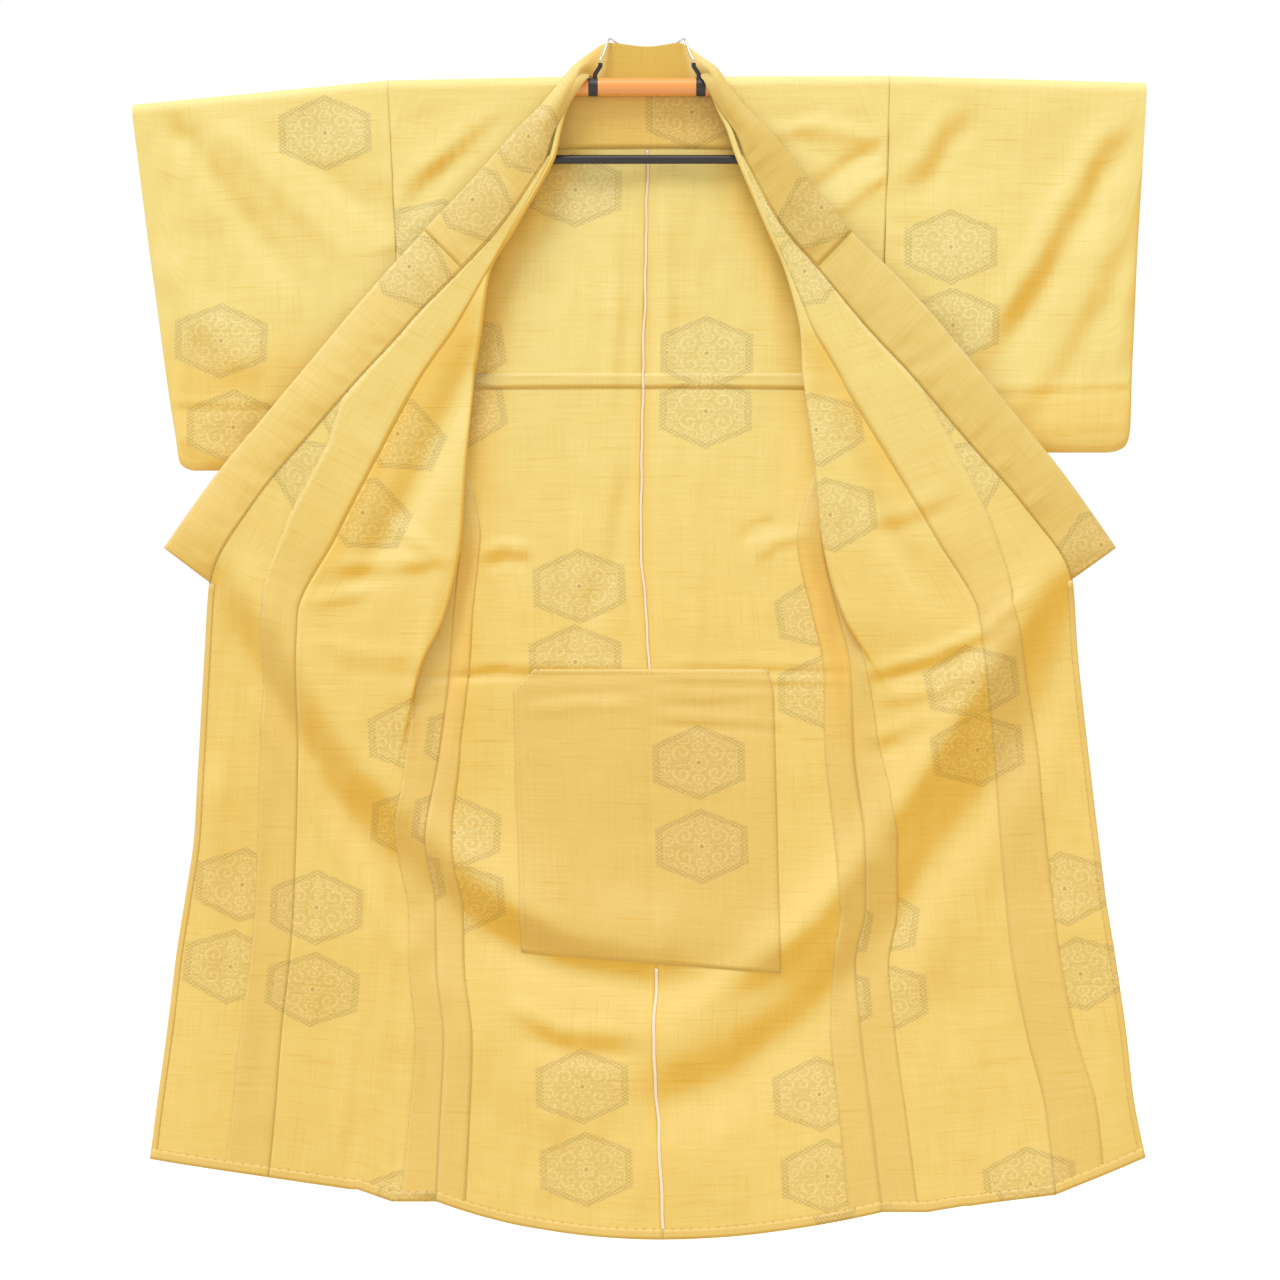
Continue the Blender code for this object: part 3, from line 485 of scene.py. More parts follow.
# %% [markdown]
# ## The large folds and the unevenness of hanging silk
#
# Two kinds of shape are added to all the sheets of the body. The large folds come from the table.
# The small ones are creases from storage, the drag between two seams, and a faint ripple that no
# hanging silk is without. Both are one function of x and z, so that sheets which are sewn together
# or lie on each other move together.

# %% Folds as a function of place
def line_distance(x, z, line):
    """Shortest way from each point to a line, given as pairs of x and z."""
    best = np.full(np.shape(x), 1e9)
    share_of_line = np.zeros(np.shape(x))
    count = len(line) - 1
    for k, ((x0, z0), (x1, z1)) in enumerate(zip(line, line[1:])):
        dx, dz = x1 - x0, z1 - z0
        share = np.clip(((x - x0) * dx + (z - z0) * dz) / (dx * dx + dz * dz), 0, 1)
        away = np.hypot(x - x0 - share * dx, z - z0 - share * dz)
        nearer = away < best
        best = np.where(nearer, away, best)
        share_of_line = np.where(nearer, (k + share) / count, share_of_line)
    return best, share_of_line

def relief(x, z):
    total = np.zeros_like(x)
    for fold in LARGE_FOLDS:
        away, _ = line_distance(x, z, fold.line)
        total += fold.height * np.exp(-(away / fold.width) ** 2)
    return total * smooth(ramp(z, RELIEF_TOP, RELIEF_FULL))

RIPPLE_WAVES = 9

def ripple(x, z, length_x, length_z, seed):
    """A gentle wave of mixed directions, about 1 high, repeatable by its seed."""
    dice = np.random.default_rng(seed)
    total = np.zeros_like(x)
    for _ in range(RIPPLE_WAVES):
        turn, phase, stretch = dice.uniform(0, math.tau), dice.uniform(0, math.tau), dice.uniform(0.7, 1.5)
        way = x * math.cos(turn) / length_x + z * math.sin(turn) / length_z
        total += np.sin(math.tau * stretch * way + phase)
    return total / math.sqrt(RIPPLE_WAVES)

def wave_along(run, length, seed):
    """The same wave along one line, whose points lie run from its start."""
    return ripple(run, run * 0, length, 1, seed)

def from_picture(px, py):
    return (px - PICTURE_X) * PICTURE, (PICTURE_Z - py) * PICTURE

SHARP_WIDTH = 7     # a crease narrower than this has a sharp crest

def creases(x, z, table):
    """Sum of small folds, each tapering off to both ends; their lines are in picture units."""
    total = np.zeros_like(x)
    for crease in table:
        away, share = line_distance(x, z, [from_picture(*point) for point in crease.line])
        taper = np.clip(np.minimum(share, 1 - share) * 4 + 0.25, 0, 1)
        power = 1.2 if crease.width < SHARP_WIDTH else 2
        total += crease.height * taper * np.exp(-(away / crease.width) ** power)
    return total

# %% Creases of the body
# Heights and half widths in millimetres, lines in units of the picture
SWAG_CREASES = folds_of(
    # the crest and the valley of the swag are sharper than the large folds alone
    (7.5, 24, (222, 545), (274, 620), (314, 690), (364, 766), (414, 818), (462, 860), (510, 902),
     (568, 938), (650, 955)),
    (-7.5, 24, (190, 558), (243, 642), (284, 712), (332, 792), (384, 850), (436, 894), (490, 934),
     (553, 966), (640, 985)),
    (-2.5, 14, (236, 632), (308, 752), (358, 842), (408, 922), (450, 984)),
    (4, 15, (222, 650), (292, 768), (342, 858), (392, 938), (432, 998)),
    (8, 24, (1072, 548), (1018, 630), (962, 710), (915, 782), (868, 850), (815, 915), (750, 970),
     (680, 1015)),
    (-6, 30, (1102, 600), (1058, 680), (1012, 760), (960, 836), (908, 908), (852, 972), (800, 1022),
     (740, 1068), (668, 1098)),
    (-8, 75, (1120, 690), (1082, 780), (1040, 860), (990, 930), (930, 1000), (860, 1060), (760, 1115)),
    (3.5, 15, (505, 1002), (560, 1030), (640, 1034)),
    (-3, 15, (520, 1034), (572, 1056), (645, 1058)),
    (4, 44, (455, 1010), (520, 1085), (575, 1130)),
)
FRONT_CREASES = folds_of(
    # the cloth drops back behind the seam of the overlap panels
    (-9, 26, (486, 330), (456, 402), (424, 470), (390, 536), (354, 596)),
    (-8, 22, (808, 350), (830, 412), (852, 464), (886, 532), (924, 598)),
    # drag lines at the shoulders
    (4, 13, (508, 92), (462, 135), (408, 182)),
    (-3.2, 12, (540, 84), (492, 126), (430, 185), (402, 222)),
    (-3, 9, (480, 84), (440, 108), (404, 128)),
    (-3.4, 6, (814, 82), (832, 97), (858, 94), (876, 82)),
    (3, 9, (806, 92), (834, 110), (868, 106)),
    (-3.5, 8, (786, 118), (826, 106), (866, 118)),
    (3.5, 11, (770, 132), (818, 124), (880, 140)),
    (-3.5, 10, (812, 196), (846, 166), (884, 146)),
    (3, 10, (832, 214), (862, 188), (886, 172)),
    (-3, 8, (742, 92), (782, 120), (826, 160)),
    (2.4, 11, (332, 565), (385, 563), (446, 560)),
    (-1.2, 11, (332, 582), (385, 578), (440, 574)),
    (3, 10, (392, 524), (420, 542), (444, 562)),
    (2.5, 11, (304, 602), (345, 596), (372, 588)),
    (1.6, 13, (312, 640), (360, 652), (425, 655)),
    (-1.0, 12, (330, 670), (380, 676), (420, 676)),
    (3, 9, (866, 672), (930, 655), (985, 630), (1035, 585)),
    (-2.5, 8, (872, 684), (935, 668), (990, 643)),
    (2.6, 9, (880, 700), (940, 690), (985, 665)),
    (1.6, 12, (866, 520), (905, 512), (950, 490)),
    (-1.3, 12, (872, 536), (910, 528), (952, 508)),
    (2.2, 12, (868, 740), (905, 726), (935, 715)),
    (-2, 12, (874, 756), (905, 744)),
    (1.6, 12, (360, 430), (388, 470), (402, 520)),
    (-6, 9, (474, 500), (464, 580), (452, 650), (440, 712), (430, 780)),
    (2.2, 9, (442, 560), (430, 620), (414, 690)),
    (-6, 9, (812, 530), (836, 620), (852, 720), (868, 850)),
    (2.0, 9, (838, 590), (858, 650), (872, 700)),
    (-1.6, 6, (408, 705), (435, 700), (452, 690)),
    (-1.8, 7, (450, 678), (480, 674), (512, 668)),
    (2, 16, (330, 700), (372, 830), (392, 960)),
    (-2, 16, (270, 800), (262, 950), (262, 1100)),
    (2.2, 18, (350, 1000), (345, 1080), (340, 1160)),
    (-2.2, 20, (390, 1030), (398, 1110), (402, 1190)),
    (2, 18, (950, 830), (935, 920), (925, 1000)),
    (3, 22, (1046, 770), (1066, 880), (1078, 960)),
    (-3, 20, (1018, 1000), (1036, 1090), (1046, 1170)),
    (2.2, 18, (960, 1040), (968, 1110), (975, 1180)),
    (1.6, 14, (232, 700), (215, 860), (205, 1000)),
)
BACK_CREASES = folds_of(
    # folds that the robe was stored in, across the seat
    (1.8, 6, (470, 664), (560, 663), (640, 666)),
    (-2.6, 5, (412, 678), (500, 676), (640, 675)),
    (1.6, 5, (655, 661), (750, 662), (860, 664)),
    (-1.6, 4, (655, 671), (750, 672), (850, 674)),
    (1.4, 4, (655, 677), (750, 679), (850, 682)),
    (-1.4, 4, (655, 684), (750, 686), (850, 688)),
    (-2.4, 4, (651, 725), (715, 728), (784, 732)),
    (-2.2, 5, (648, 680), (650, 800), (655, 962)),
    (-1.6, 6, (522, 700), (580, 692), (642, 694)),
    (1.4, 7, (522, 712), (580, 706), (640, 706)),
    (-1.4, 5, (655, 704), (705, 707), (760, 704)),
    (1.2, 6, (655, 696), (705, 697), (765, 694)),
    (1.0, 6, (651, 716), (715, 719), (784, 724)),
    (-1.2, 6, (396, 706), (420, 706), (446, 704)),
    (2.6, 9, (478, 552), (504, 545), (532, 550)),
    (-2, 8, (486, 566), (508, 562), (530, 566)),
    (2.6, 10, (756, 556), (775, 540), (812, 532)),
    (-2, 9, (742, 540), (756, 528), (778, 520)),
    # soft lengthwise waves of the back
    (1.8, 12, (540, 190), (520, 300), (515, 370)),
    (3, 11, (616, 190), (614, 290), (612, 400)),
    (3, 11, (666, 190), (664, 290), (668, 400)),
    (-3, 18, (634, 470), (612, 560), (570, 650)),
    (1.8, 12, (610, 400), (606, 520), (612, 650)),
    (-1.6, 14, (570, 400), (566, 540), (560, 640)),
    (1.6, 12, (700, 440), (694, 560), (700, 650)),
    (-1.8, 10, (655, 200), (650, 420), (650, 640)),
    (1.8, 12, (765, 220), (775, 300), (780, 370)),
    (2.2, 18, (560, 1100), (548, 1160), (540, 1210)),
    (-2, 18, (610, 1110), (608, 1170), (606, 1225)),
    (2, 18, (720, 1120), (728, 1170), (735, 1220)),
    (-2.2, 18, (795, 1090), (800, 1150), (805, 1205)),
    (-2, 20, (470, 1080), (480, 1140), (488, 1200)),
)
BODY_CREASES = SWAG_CREASES + FRONT_CREASES + BACK_CREASES
print("body creases:", len(BODY_CREASES))

def push(x, z):
    """How far all the folds push the body's cloth towards the viewer."""
    fade = ramp(z, -20, -80)
    small = creases(x, z, BODY_CREASES)
    small = small + 1.1 * ripple(x, z, 150, 420, 11) + 0.3 * ripple(x, z, 46, 90, 12)
    return relief(x, z) + small * fade

def body_shape(P):
    P[..., 1] -= push(P[..., 0], P[..., 2])
    return P

# %% [markdown]
# ## Back and front widths
#
# A kimono is straight lengths of one narrow cloth. Each back width runs from the centre seam to the
# side seam. Each front width starts at the side seam, goes under itself, turns at a soft roll and
# comes back to the seam of the overlap panel. A row of points per section, turned in half circles at
# the roll and at the valley, gives that shape without any modelling by hand.

# %% Front and overlap sheets
def turn_points(at_out, depth, radius, turn, bulge, run, count):
    points = []
    for k in range(count):
        share = k / (count - 1)
        angle = math.radians(-90 + 180 * share)
        round_out = at_out - bulge * radius * (1 - math.cos(angle))
        round_depth = depth + radius * math.sin(angle)
        flat_out = at_out + run * (share - 0.5) * 3 * radius
        points.append((mix(flat_out, round_out, turn), mix(depth, round_depth, turn)))
    return points

def stretch(a, b, count):
    return [tuple(mix(p, q, k / (count + 1)) for p, q in zip(a, b)) for k in range(1, count + 1)]

# Points across a front width: at its valley and its roll, under itself, and from the roll to the seam
VALLEY_POINTS, ROLL_POINTS, UNDER_POINTS, OPEN_POINTS = 7, 9, 14, 26
OKUMI_COLUMNS = 28
SEAM_UNDER = 0.7       # how far an overlap panel's first column goes under the front's last one

def front_line(side, at):
    row = between(FRONT[side], at)
    sign = SIDES[side]
    run = 1 if row.seam > row.side else -1
    start = (row.side, row.side_depth, row.side_z)
    valley = turn_points(row.valley, row.valley_depth, VALLEY_RADIUS, row.valley_turn, 1, run,
                         VALLEY_POINTS)
    roll = turn_points(row.roll, row.roll_depth, row.roll_radius, row.roll_turn, -1, run, ROLL_POINTS)
    valley, roll = [(*p, row.side_z) for p in valley], [(*p, row.roll_z) for p in roll]
    end = (row.seam, row.seam_depth, row.seam_z)
    under, shown = stretch(valley[-1], roll[0], UNDER_POINTS), stretch(roll[-1], end, OPEN_POINTS)
    line = [start] + valley + under + roll + shown + [end]
    return [hang(sign * out, z, depth, at, -1) for out, depth, z in line]

def edge_at(side, at):
    if at >= TIP:
        return between(EDGE[side], at - TIP)
    row = between(FRONT[side], at)
    blend = smooth(at - (TIP - 1))
    first = EDGE[side][0]
    return Edge(mix(row.seam, first.out, blend), row.seam_z, mix(row.seam_depth, first.depth, blend))

def okumi_line(side, at):
    row = between(FRONT[side], at)
    edge = edge_at(side, at)
    line = []
    for k in range(OKUMI_COLUMNS + 1):
        t = k / OKUMI_COLUMNS
        under = SEAM_UNDER if k == 0 else 0.0
        out = mix(row.seam - under, edge.out, t)
        line.append(hang(SIDES[side] * out, mix(row.seam_z, edge.z, t),
                         mix(row.seam_depth, edge.depth, t) - under, at, -1))
    return line

def body_sheets(line, first=0):
    """Both sides' sheets of one kind, row by row down to the hem, with the body's folds."""
    rows = fine_rows(first, LAST)
    return {side: body_shape(np.array([line(side, at) for at in rows])) for side in SIDES}

front = body_sheets(front_line)
okumi = body_sheets(okumi_line, TIP)
print("front sheet:", front["left"].shape, "overlap sheet:", okumi["left"].shape)

# %% Back sheets
def back_row_start(side, out):
    neck = NECK[side]
    starts = ((neck - 22, 2.75), (neck - 11, 2.0), (neck - 6, 1.0), (neck, 0.0))
    if out <= starts[0][0]:
        return starts[0][1]
    for (a, low), (b, high) in zip(starts, starts[1:]):
        if out <= b:
            return mix(low, high, (out - a) / (b - a))
    return 0.0

def back_point(side, at, out, level, row_front):
    sign, patch = SIDES[side], PATCH[side]
    end = row_front.side
    end_y = mix(HANG, -row_front.side_depth, smooth((at - SLIT_END) / 2))
    share = max(0.0, (out - patch) / (end - patch))
    z = mix(level.back_z, row_front.side_z, (out / end) ** 2)
    x = sign * out + level.centre_x * max(0.0, 1 - out / patch)
    y = mix(level.back_y, end_y, smooth(share))
    row = at
    if at < SIDE_ROW:
        row = mix(back_row_start(side, out), SIDE_ROW, at / SIDE_ROW)
    return hang(x, z, y, row, 1)

BACK_INNER, BACK_OUTER = 34, 18     # columns as far out as the seat patch, and beside it

def back_line(side, at):
    level, row_front = between(LEVELS, at), between(FRONT[side], at)
    patch, end = PATCH[side], row_front.side
    outs = [patch * k / BACK_INNER for k in range(BACK_INNER + 1)]
    outs += [mix(patch, end, k / BACK_OUTER) for k in range(1, BACK_OUTER + 1)]
    return [back_point(side, at, out, level, row_front) for out in outs]

back = body_sheets(back_line)
print("back sheet:", back["left"].shape)

# %% [markdown]
# ## Sleeves
#
# A sleeve is one length folded over the bar and sewn along the bottom and below the cuff. Its two
# halves lie 26 mm apart where the bar fills them and close up towards the bottom, like a flat bag.
# The straight storage crease across each sleeve and its soft sag come from their own table.

# %% Sleeve sheets
SLEEVE_CREASES = {
    "left": folds_of(
        (4, 20, (192, 96), (255, 162), (306, 214), (352, 262)),
        (-5, 17, (160, 106), (206, 168), (248, 224), (290, 282)),
        (-2.5, 12, (262, 128), (318, 172), (384, 226)),
        (4.5, 26, (150, 240), (205, 320), (262, 378)),
        (-3, 22, (300, 100), (320, 160), (372, 215)),
        (2.5, 16, (345, 95), (360, 150), (384, 190)),
        (-1.6, 3.5, (150, 409), (240, 410), (350, 410)),
        (1.1, 6, (150, 402), (240, 403), (350, 403)),
        (1.8, 12, (176, 430), (200, 450), (240, 462)),
        (1.4, 6, (372, 250), (386, 246), (396, 246)),
    ),
    "right": folds_of(
        (4.5, 17, (1112, 112), (1064, 199), (1029, 266), (973, 356)),
        (-4.5, 17, (1134, 126), (1087, 212), (1051, 279), (996, 370)),
        (2, 15, (1118, 208), (1090, 284), (1052, 356), (1012, 414)),
        (-2, 15, (1136, 220), (1111, 297), (1073, 369), (1033, 427)),
        (3, 13, (954, 98), (928, 139), (901, 183)),
        (-3, 13, (974, 112), (949, 152), (922, 196)),
        (2.4, 8, (818, 82), (842, 86), (874, 84)),
        (-2.4, 7, (812, 95), (842, 98), (870, 96)),
        (-1.5, 3.5, (970, 397), (1060, 393), (1150, 389)),
        (1.0, 6, (970, 390), (1060, 386), (1150, 382)),
        (-1, 5, (1046, 435), (1090, 434), (1132, 433)),
        (1.8, 12, (1100, 240), (1118, 300), (1120, 370)),
        (1.4, 6, (892, 240), (898, 236), (912, 234)),
        (1.2, 5, (892, 216), (900, 212), (914, 212)),
    ),
}

SLEEVE_COLUMNS, SLEEVE_ROWS, CREST_ROWS = 66, 78, 10

def sleeve_line(side, u, face):
    column = between(SLEEVE[side], u)
    sign = SIDES[side]
    crest = [SIDE_ROW * k / CREST_ROWS for k in range(CREST_ROWS + 1)]
    line = [hang(sign * column.top, 0, HANG, row, face) for row in crest]
    start_z = bar_z(sign * column.top)
    depths = [share * HANG for share in SLEEVE_DEPTHS] + [SLEEVE_LIP]
    for share in [k / SLEEVE_ROWS for k in range(1, SLEEVE_ROWS)] + [0.994, 0.998, 1]:
        depth = face * float(np.interp(share, SLEEVE_SHARES, depths))
        line.append((sign * mix(column.top, column.low, share), depth, mix(start_z, column.low_z, share)))
    line.append((sign * column.low, face * 0.1, column.low_z))
    return line

def sleeve_sheet(side, face):
    columns = np.linspace(0, len(SLEEVE[side]) - 1, SLEEVE_COLUMNS)
    P = np.array([sleeve_line(side, u, face) for u in columns]).transpose(1, 0, 2)
    x, z = P[..., 0], P[..., 2]
    fade = ramp(z, -6, -66) * ramp(np.abs(P[..., 1]), 0, 5)
    small = creases(x, z, SLEEVE_CREASES[side])
    small += 1.2 * ripple(x, z, 170, 300, 21) + 0.4 * ripple(x, z, 40, 90, 22 + face)
    P[..., 1] -= small * fade
    return P

sleeve = {(side, face): sleeve_sheet(side, face) for side in SIDES for face in (-1, 1)}
print("sleeve sheet:", sleeve["left", -1].shape)

# %% [markdown]
# ## The collar
#
# The collar is one long band, doubled, sewn to the fronts and round the back of the neck. It is swept
# between two rails, its seam and its free edge, from its left end, behind the neck, to its right end.
# It arches a little towards the viewer, most where it comes over the shoulders, and puckers along
# its seam, because the band is straight and the seam is not. A second collar is laid over its middle.

# %% Collar rails
COLLAR_ROWS = [0, 0.75] + [1.5 + k / 4 for k in range(18)] + fine_rows(TIP, COLLAR_END)
NECK_STEPS = 6
SEAM_INSET = 1.2       # how far the collar's seam lies inside the overlap panel's edge
SEAM_LIFT = 0.9        # and how far in front of it

def collar_rows(side):
    sign = SIDES[side]
    rows = []
    for at in COLLAR_ROWS:
        edge, free = edge_at(side, at), between(FREE[side], at)
        stand = COLLAR_STAND * (1 - smooth((at - TIP + 1) / 2)) - SEAM_INSET * smooth(at - TIP)
        lift = SEAM_LIFT * smooth(at - TIP)
        seam = hang(sign * (edge.out + stand), edge.z, edge.depth + lift, at, -1)
        rows.append((*seam, sign * free.out, -free.depth, free.z, free.crown, at))
    return rows

def neck_rows():
    rows = []
    for k in range(NECK_STEPS * (len(BACK_NECK) - 1) + 1):
        rows.append((*between(BACK_NECK, k / NECK_STEPS), -1))
    return rows

rails = np.array(collar_rows("left")[::-1] + neck_rows() + collar_rows("right"), float)
for _ in range(6):
    rails[1:-1, :7] = (rails[:-2, :7] + 2 * rails[1:-1, :7] + rails[2:, :7]) / 4
rail_at = rails[:, 7]
print("collar sections:", len(rails))

# %% Collar sheet
def unit(v):
    return v / np.maximum(np.linalg.norm(v, axis=-1, keepdims=True), 1e-9)

def normals(P):
    """The way out of a grid of points at each of its points."""
    across = np.gradient(P, axis=1)
    down = np.gradient(P, axis=0)
    return unit(np.cross(down, across))

def run_along(P, axis=0):
    """How far each point lies from the first one, measured along the cloth."""
    steps = np.linalg.norm(np.diff(P, axis=axis), axis=-1)
    return np.insert(np.cumsum(steps, axis=axis), 0, 0.0, axis=axis)

def collar_sheet(columns=16):
    seam, free, crown = rails[:, 0:3], rails[:, 3:6], rails[:, 6]
    middle = (seam + free) / 2
    face = unit(np.cross(np.gradient(middle, axis=0), free - seam))
    run = run_along(middle)
    g = np.linspace(0, 1, columns + 1)[None]
    f = g[..., None]
    P = seam[:, None] * (1 - f) + free[:, None] * f
    calm = np.where(rail_at < 2.5, 0.2, 1.0)
    pucker = (0.9 * wave_along(run, 46, 31) + 0.5 * wave_along(run, 17, 32)) * calm
    slow = 1.4 * wave_along(run, 190, 33) * calm
    bump = crown[:, None] * 4 * g * (1 - g)
    bump = bump + pucker[:, None] * (1 - g) ** 1.5 * 0.9 * ramp(g, 0, 0.16) + slow[:, None] * g ** 0.5
    bump += (0.35 * wave_along(run, 30, 34) * calm)[:, None] * g
    # small slanting puckers, at uneven distances
    dice = np.random.default_rng(35)
    at = 0.0
    while at < run[-1]:
        at += dice.uniform(16, 44)
        reach, slant = dice.uniform(0.3, 0.95), dice.uniform(-14, 14)
        height = dice.uniform(0.5, 1.3) * dice.choice((-1, 1))
        along = run[:, None] - at - slant * g
        ends = ramp(g, 0, 0.1) * np.clip((reach - g) / 0.2, 0, 1)
        bump += height * np.exp(-(along / 6.0) ** 2) * ends * calm[:, None]
    return body_shape(P + face[:, None] * bump[..., None])

collar = collar_sheet()
print("collar length:", round(run_along(collar[:, 8])[-1]), "mm along its middle")

# %% Over-collar, laid round the collar's free edge
OVER_OFFSET = CLOTH / 2 + 0.55
END_OFFSET = 0.85       # at its two ends, which are pressed flat and lie close
OVER_ROWS = (-1, 0, 1.5, 2.5, 3.5, 4.5, 5.5)
OVER_INSET = (3, -14, -14, -11, -7, -2, 3)     # from the collar's seam in, or past it where below 0

def over_collar_sheet():
    rows = np.where(rail_at <= OVER_COLLAR_END)[0]
    P, N = collar[rows], normals(collar)[rows]
    if N[len(rows) // 2, 0, 1] > 0:
        N = -N
    # beside the neck it reaches past the seam and covers the front's edge
    inset = np.interp(rail_at[rows], OVER_ROWS, OVER_INSET)
    for _ in range(4):
        inset[1:-1] = (inset[:-2] + 2 * inset[1:-1] + inset[2:]) / 4
    start = P[:, :1] + unit(P[:, 1:2] - P[:, :1]) * np.maximum(inset, 0)[:, None, None]
    past = np.maximum(-inset, 0)
    start[:, 0, 0] -= np.sign(P[:, 0, 0]) * past
    start[:, 0, 1] -= 0.25 * past
    covered = np.concatenate([start, P[:, 1:]], axis=1)
    to_end = np.minimum(np.arange(len(rows)), np.arange(len(rows))[::-1])
    offset = mix(END_OFFSET, OVER_OFFSET, ramp(to_end, 0, 5))[:, None, None]
    inner, outer = covered + N * offset, covered - N * offset
    tip, face = P[:, -1], N[:, -1]
    out = unit(P[:, -1] - P[:, -2])
    angles = np.linspace(0, math.pi, 7)[1:-1]
    turn = [tip + (face * math.cos(a) + out * math.sin(a)) * offset[:, 0] for a in angles]
    return np.concatenate([inner, np.stack(turn, axis=1), outer[:, ::-1]], axis=1)

over_collar = over_collar_sheet()
print("over-collar sheet:", over_collar.shape)

# %% [markdown]
# ## Seams' allowances, hems, patch, tuck and tape
#
# This robe has no lining, so its inside shows how it is made: the spare cloth beside each seam is
# pressed flat and caught down, edges are turned twice, and a second layer strengthens the seat and
# the shoulders. Each of these is cut out of the sheet that it lies on, by arc length from the seam,
# and lifted by a little more than the thickness of the cloth.

# %% Cutting a strip out of a sheet
def strip(P, widths, count=6, flip=False, lift=0.75):
    """A strip beside a sheet's first column (or its last, with flip), widths wide in each row."""
    Q, N = P, facing(P)
    if flip:
        Q, N = Q[:, ::-1], N[:, ::-1]
    run = run_along(Q, 1)
    widths = np.minimum(np.broadcast_to(widths, len(Q)), run[:, -1] - TO_RIM)
    both = np.concatenate([Q, N], axis=2)
    out = np.empty((len(Q), count + 1, 6))
    for i in range(len(Q)):
        targets = np.linspace(0, widths[i], count + 1)
        for c in range(6):
            out[i, :, c] = np.interp(targets, run[i], both[i, :, c])
    return out[..., :3] + unit(out[..., 3:]) * lift

def facing(P):
    """Normals of a sheet that point to the viewer where it is seen."""
    N = normals(P)
    return N if N[len(N) // 2, :, 1].mean() < 0 else -N

def row_widths(numbers, table):
    """Widths per row from a table of height and width pairs."""
    heights = [between(LEVELS, at).back_z for at in numbers]
    zs, ws = zip(*sorted(table))
    return np.interp(heights, zs, ws)

ROWS = fine_rows(0, LAST)
TIP_ROWS = fine_rows(TIP, LAST)

def part_of(rows, first, last=LAST):
    return [k for k, at in enumerate(rows) if first - 1e-6 <= at <= last + 1e-6]

# %% Allowances beside the seams
# Widths of the allowances on each side, as pairs of height and width
SIDE_BACK = {
    "left": ((-380, 34), (-700, 28), (-870, 26), (-985, 36), (-1531, 40)),
    "right": ((-380, 34), (-760, 38), (-1000, 42), (-1170, 30), (-1260, 42), (-1531, 45)),
}
SIDE_FRONT = {
    "left": ((-600, 10), (-700, 32), (-773, 46), (-900, 46), (-1110, 36), (-1300, 38), (-1531, 48)),
    "right": ((-600, 6), (-700, 14), (-773, 22), (-872, 34), (-930, 44), (-1150, 44), (-1531, 48)),
}
OKUMI_BAND = {
    "left": ((-399, 90), (-505, 67), (-600, 69), (-700, 50), (-1100, 52), (-1531, 60)),
    "right": ((-399, 90), (-505, 86), (-600, 76), (-700, 48), (-773, 56), (-1150, 64), (-1531, 70)),
}
HEM_TURN = 14.0
HEM_ROWS = 40       # rows from which the hem is cut
EDGE_TURN = 8.0
TO_RIM = 2.0        # left free beside a sheet's far edge

def allowance(P, rows, first, table, **ways):
    """A strip beside a seam from one section to the hem."""
    kept = part_of(rows, first)
    return strip(P[kept], row_widths([rows[k] for k in kept], table), **ways)

def bottom(P):
    """The turned-up hem along a sheet's last row."""
    return strip(P.transpose(1, 0, 2)[:, -HEM_ROWS:], HEM_TURN, count=3, flip=True, lift=0.95)

bands = {}
for side in SIDES:
    strips = {"back": allowance(back[side], ROWS, TUCK_TOP, SIDE_BACK[side], flip=True),
              "front": allowance(front[side], ROWS, FRONT_BAND_TOP, SIDE_FRONT[side], count=10),
              "okumi": allowance(okumi[side], TIP_ROWS, TIP, OKUMI_BAND[side], count=10)}
    bands.update({f"allowance_{word}_{side}": P for word, P in strips.items()})
    outer_edge = okumi[side][part_of(TIP_ROWS, COLLAR_END)]
    bands[f"hem_edge_{side}"] = strip(outer_edge, EDGE_TURN, count=3, flip=True)
for side in SIDES:
    for word, sheet in (("back", back), ("front", front), ("okumi", okumi)):
        bands[f"hem_{word}_{side}"] = bottom(sheet[side])
print("bands:", ", ".join(bands))

# %% Patch, shoulder lining, tuck and centre tape
LINING_TOP = 3.2
# The seat patch in the picture: heights, and its left and right edge there
SEAT_HEIGHTS = (669, 690, 800, 960)
SEAT_LEFT, SEAT_RIGHT = (534, 513, 516, 521), (768, 774, 777, 781)
SEAT_DOWNHILL = (-6, 14)     # how much lower its lower edge runs at the left and at the right end

def across_back(rows, lift):
    left, right = (back[side][rows, :BACK_INNER + 1] for side in SIDES)
    P = np.concatenate([left[:, ::-1], right[:, 1:]], axis=1)
    return P + facing(P) * lift

def seat_sheet(rows=72, columns=64, lift=1.1):
    """The patch, cut across its two upper corners, with a lower edge that runs a little downhill."""
    heights, y_of_row = zip(*sorted((level.back_z, level.back_y) for level in LEVELS))
    P = np.empty((rows + 1, columns + 1, 3))
    u = np.linspace(0, 1, columns + 1)
    for i, v in enumerate(np.linspace(0, 1, rows + 1)):
        py = mix(SEAT_HEIGHTS[0], SEAT_HEIGHTS[-1], v)
        left, right = (np.interp(py, SEAT_HEIGHTS, edge) for edge in (SEAT_LEFT, SEAT_RIGHT))
        x, z = from_picture(mix(left, right, u), py + v * mix(*SEAT_DOWNHILL, u))
        P[i, :, 0], P[i, :, 2] = x, z
        P[i, :, 1] = np.interp(z, heights, y_of_row) - push(x, z) - lift
    return P

seat = seat_sheet()
lining = across_back(part_of(ROWS, LINING_TOP, TIP), 0.8)

def tuck_sheet(side):
    """A flap of the back's own cloth, folded up and sewn along its lower line."""
    rows = part_of(ROWS, TUCK_TOP, TUCK_LOW)
    P = back[side][rows][:, :-2]
    share = np.linspace(0, 1, len(rows))[:, None, None]
    return P + facing(P) * (0.3 + 0.4 * share)

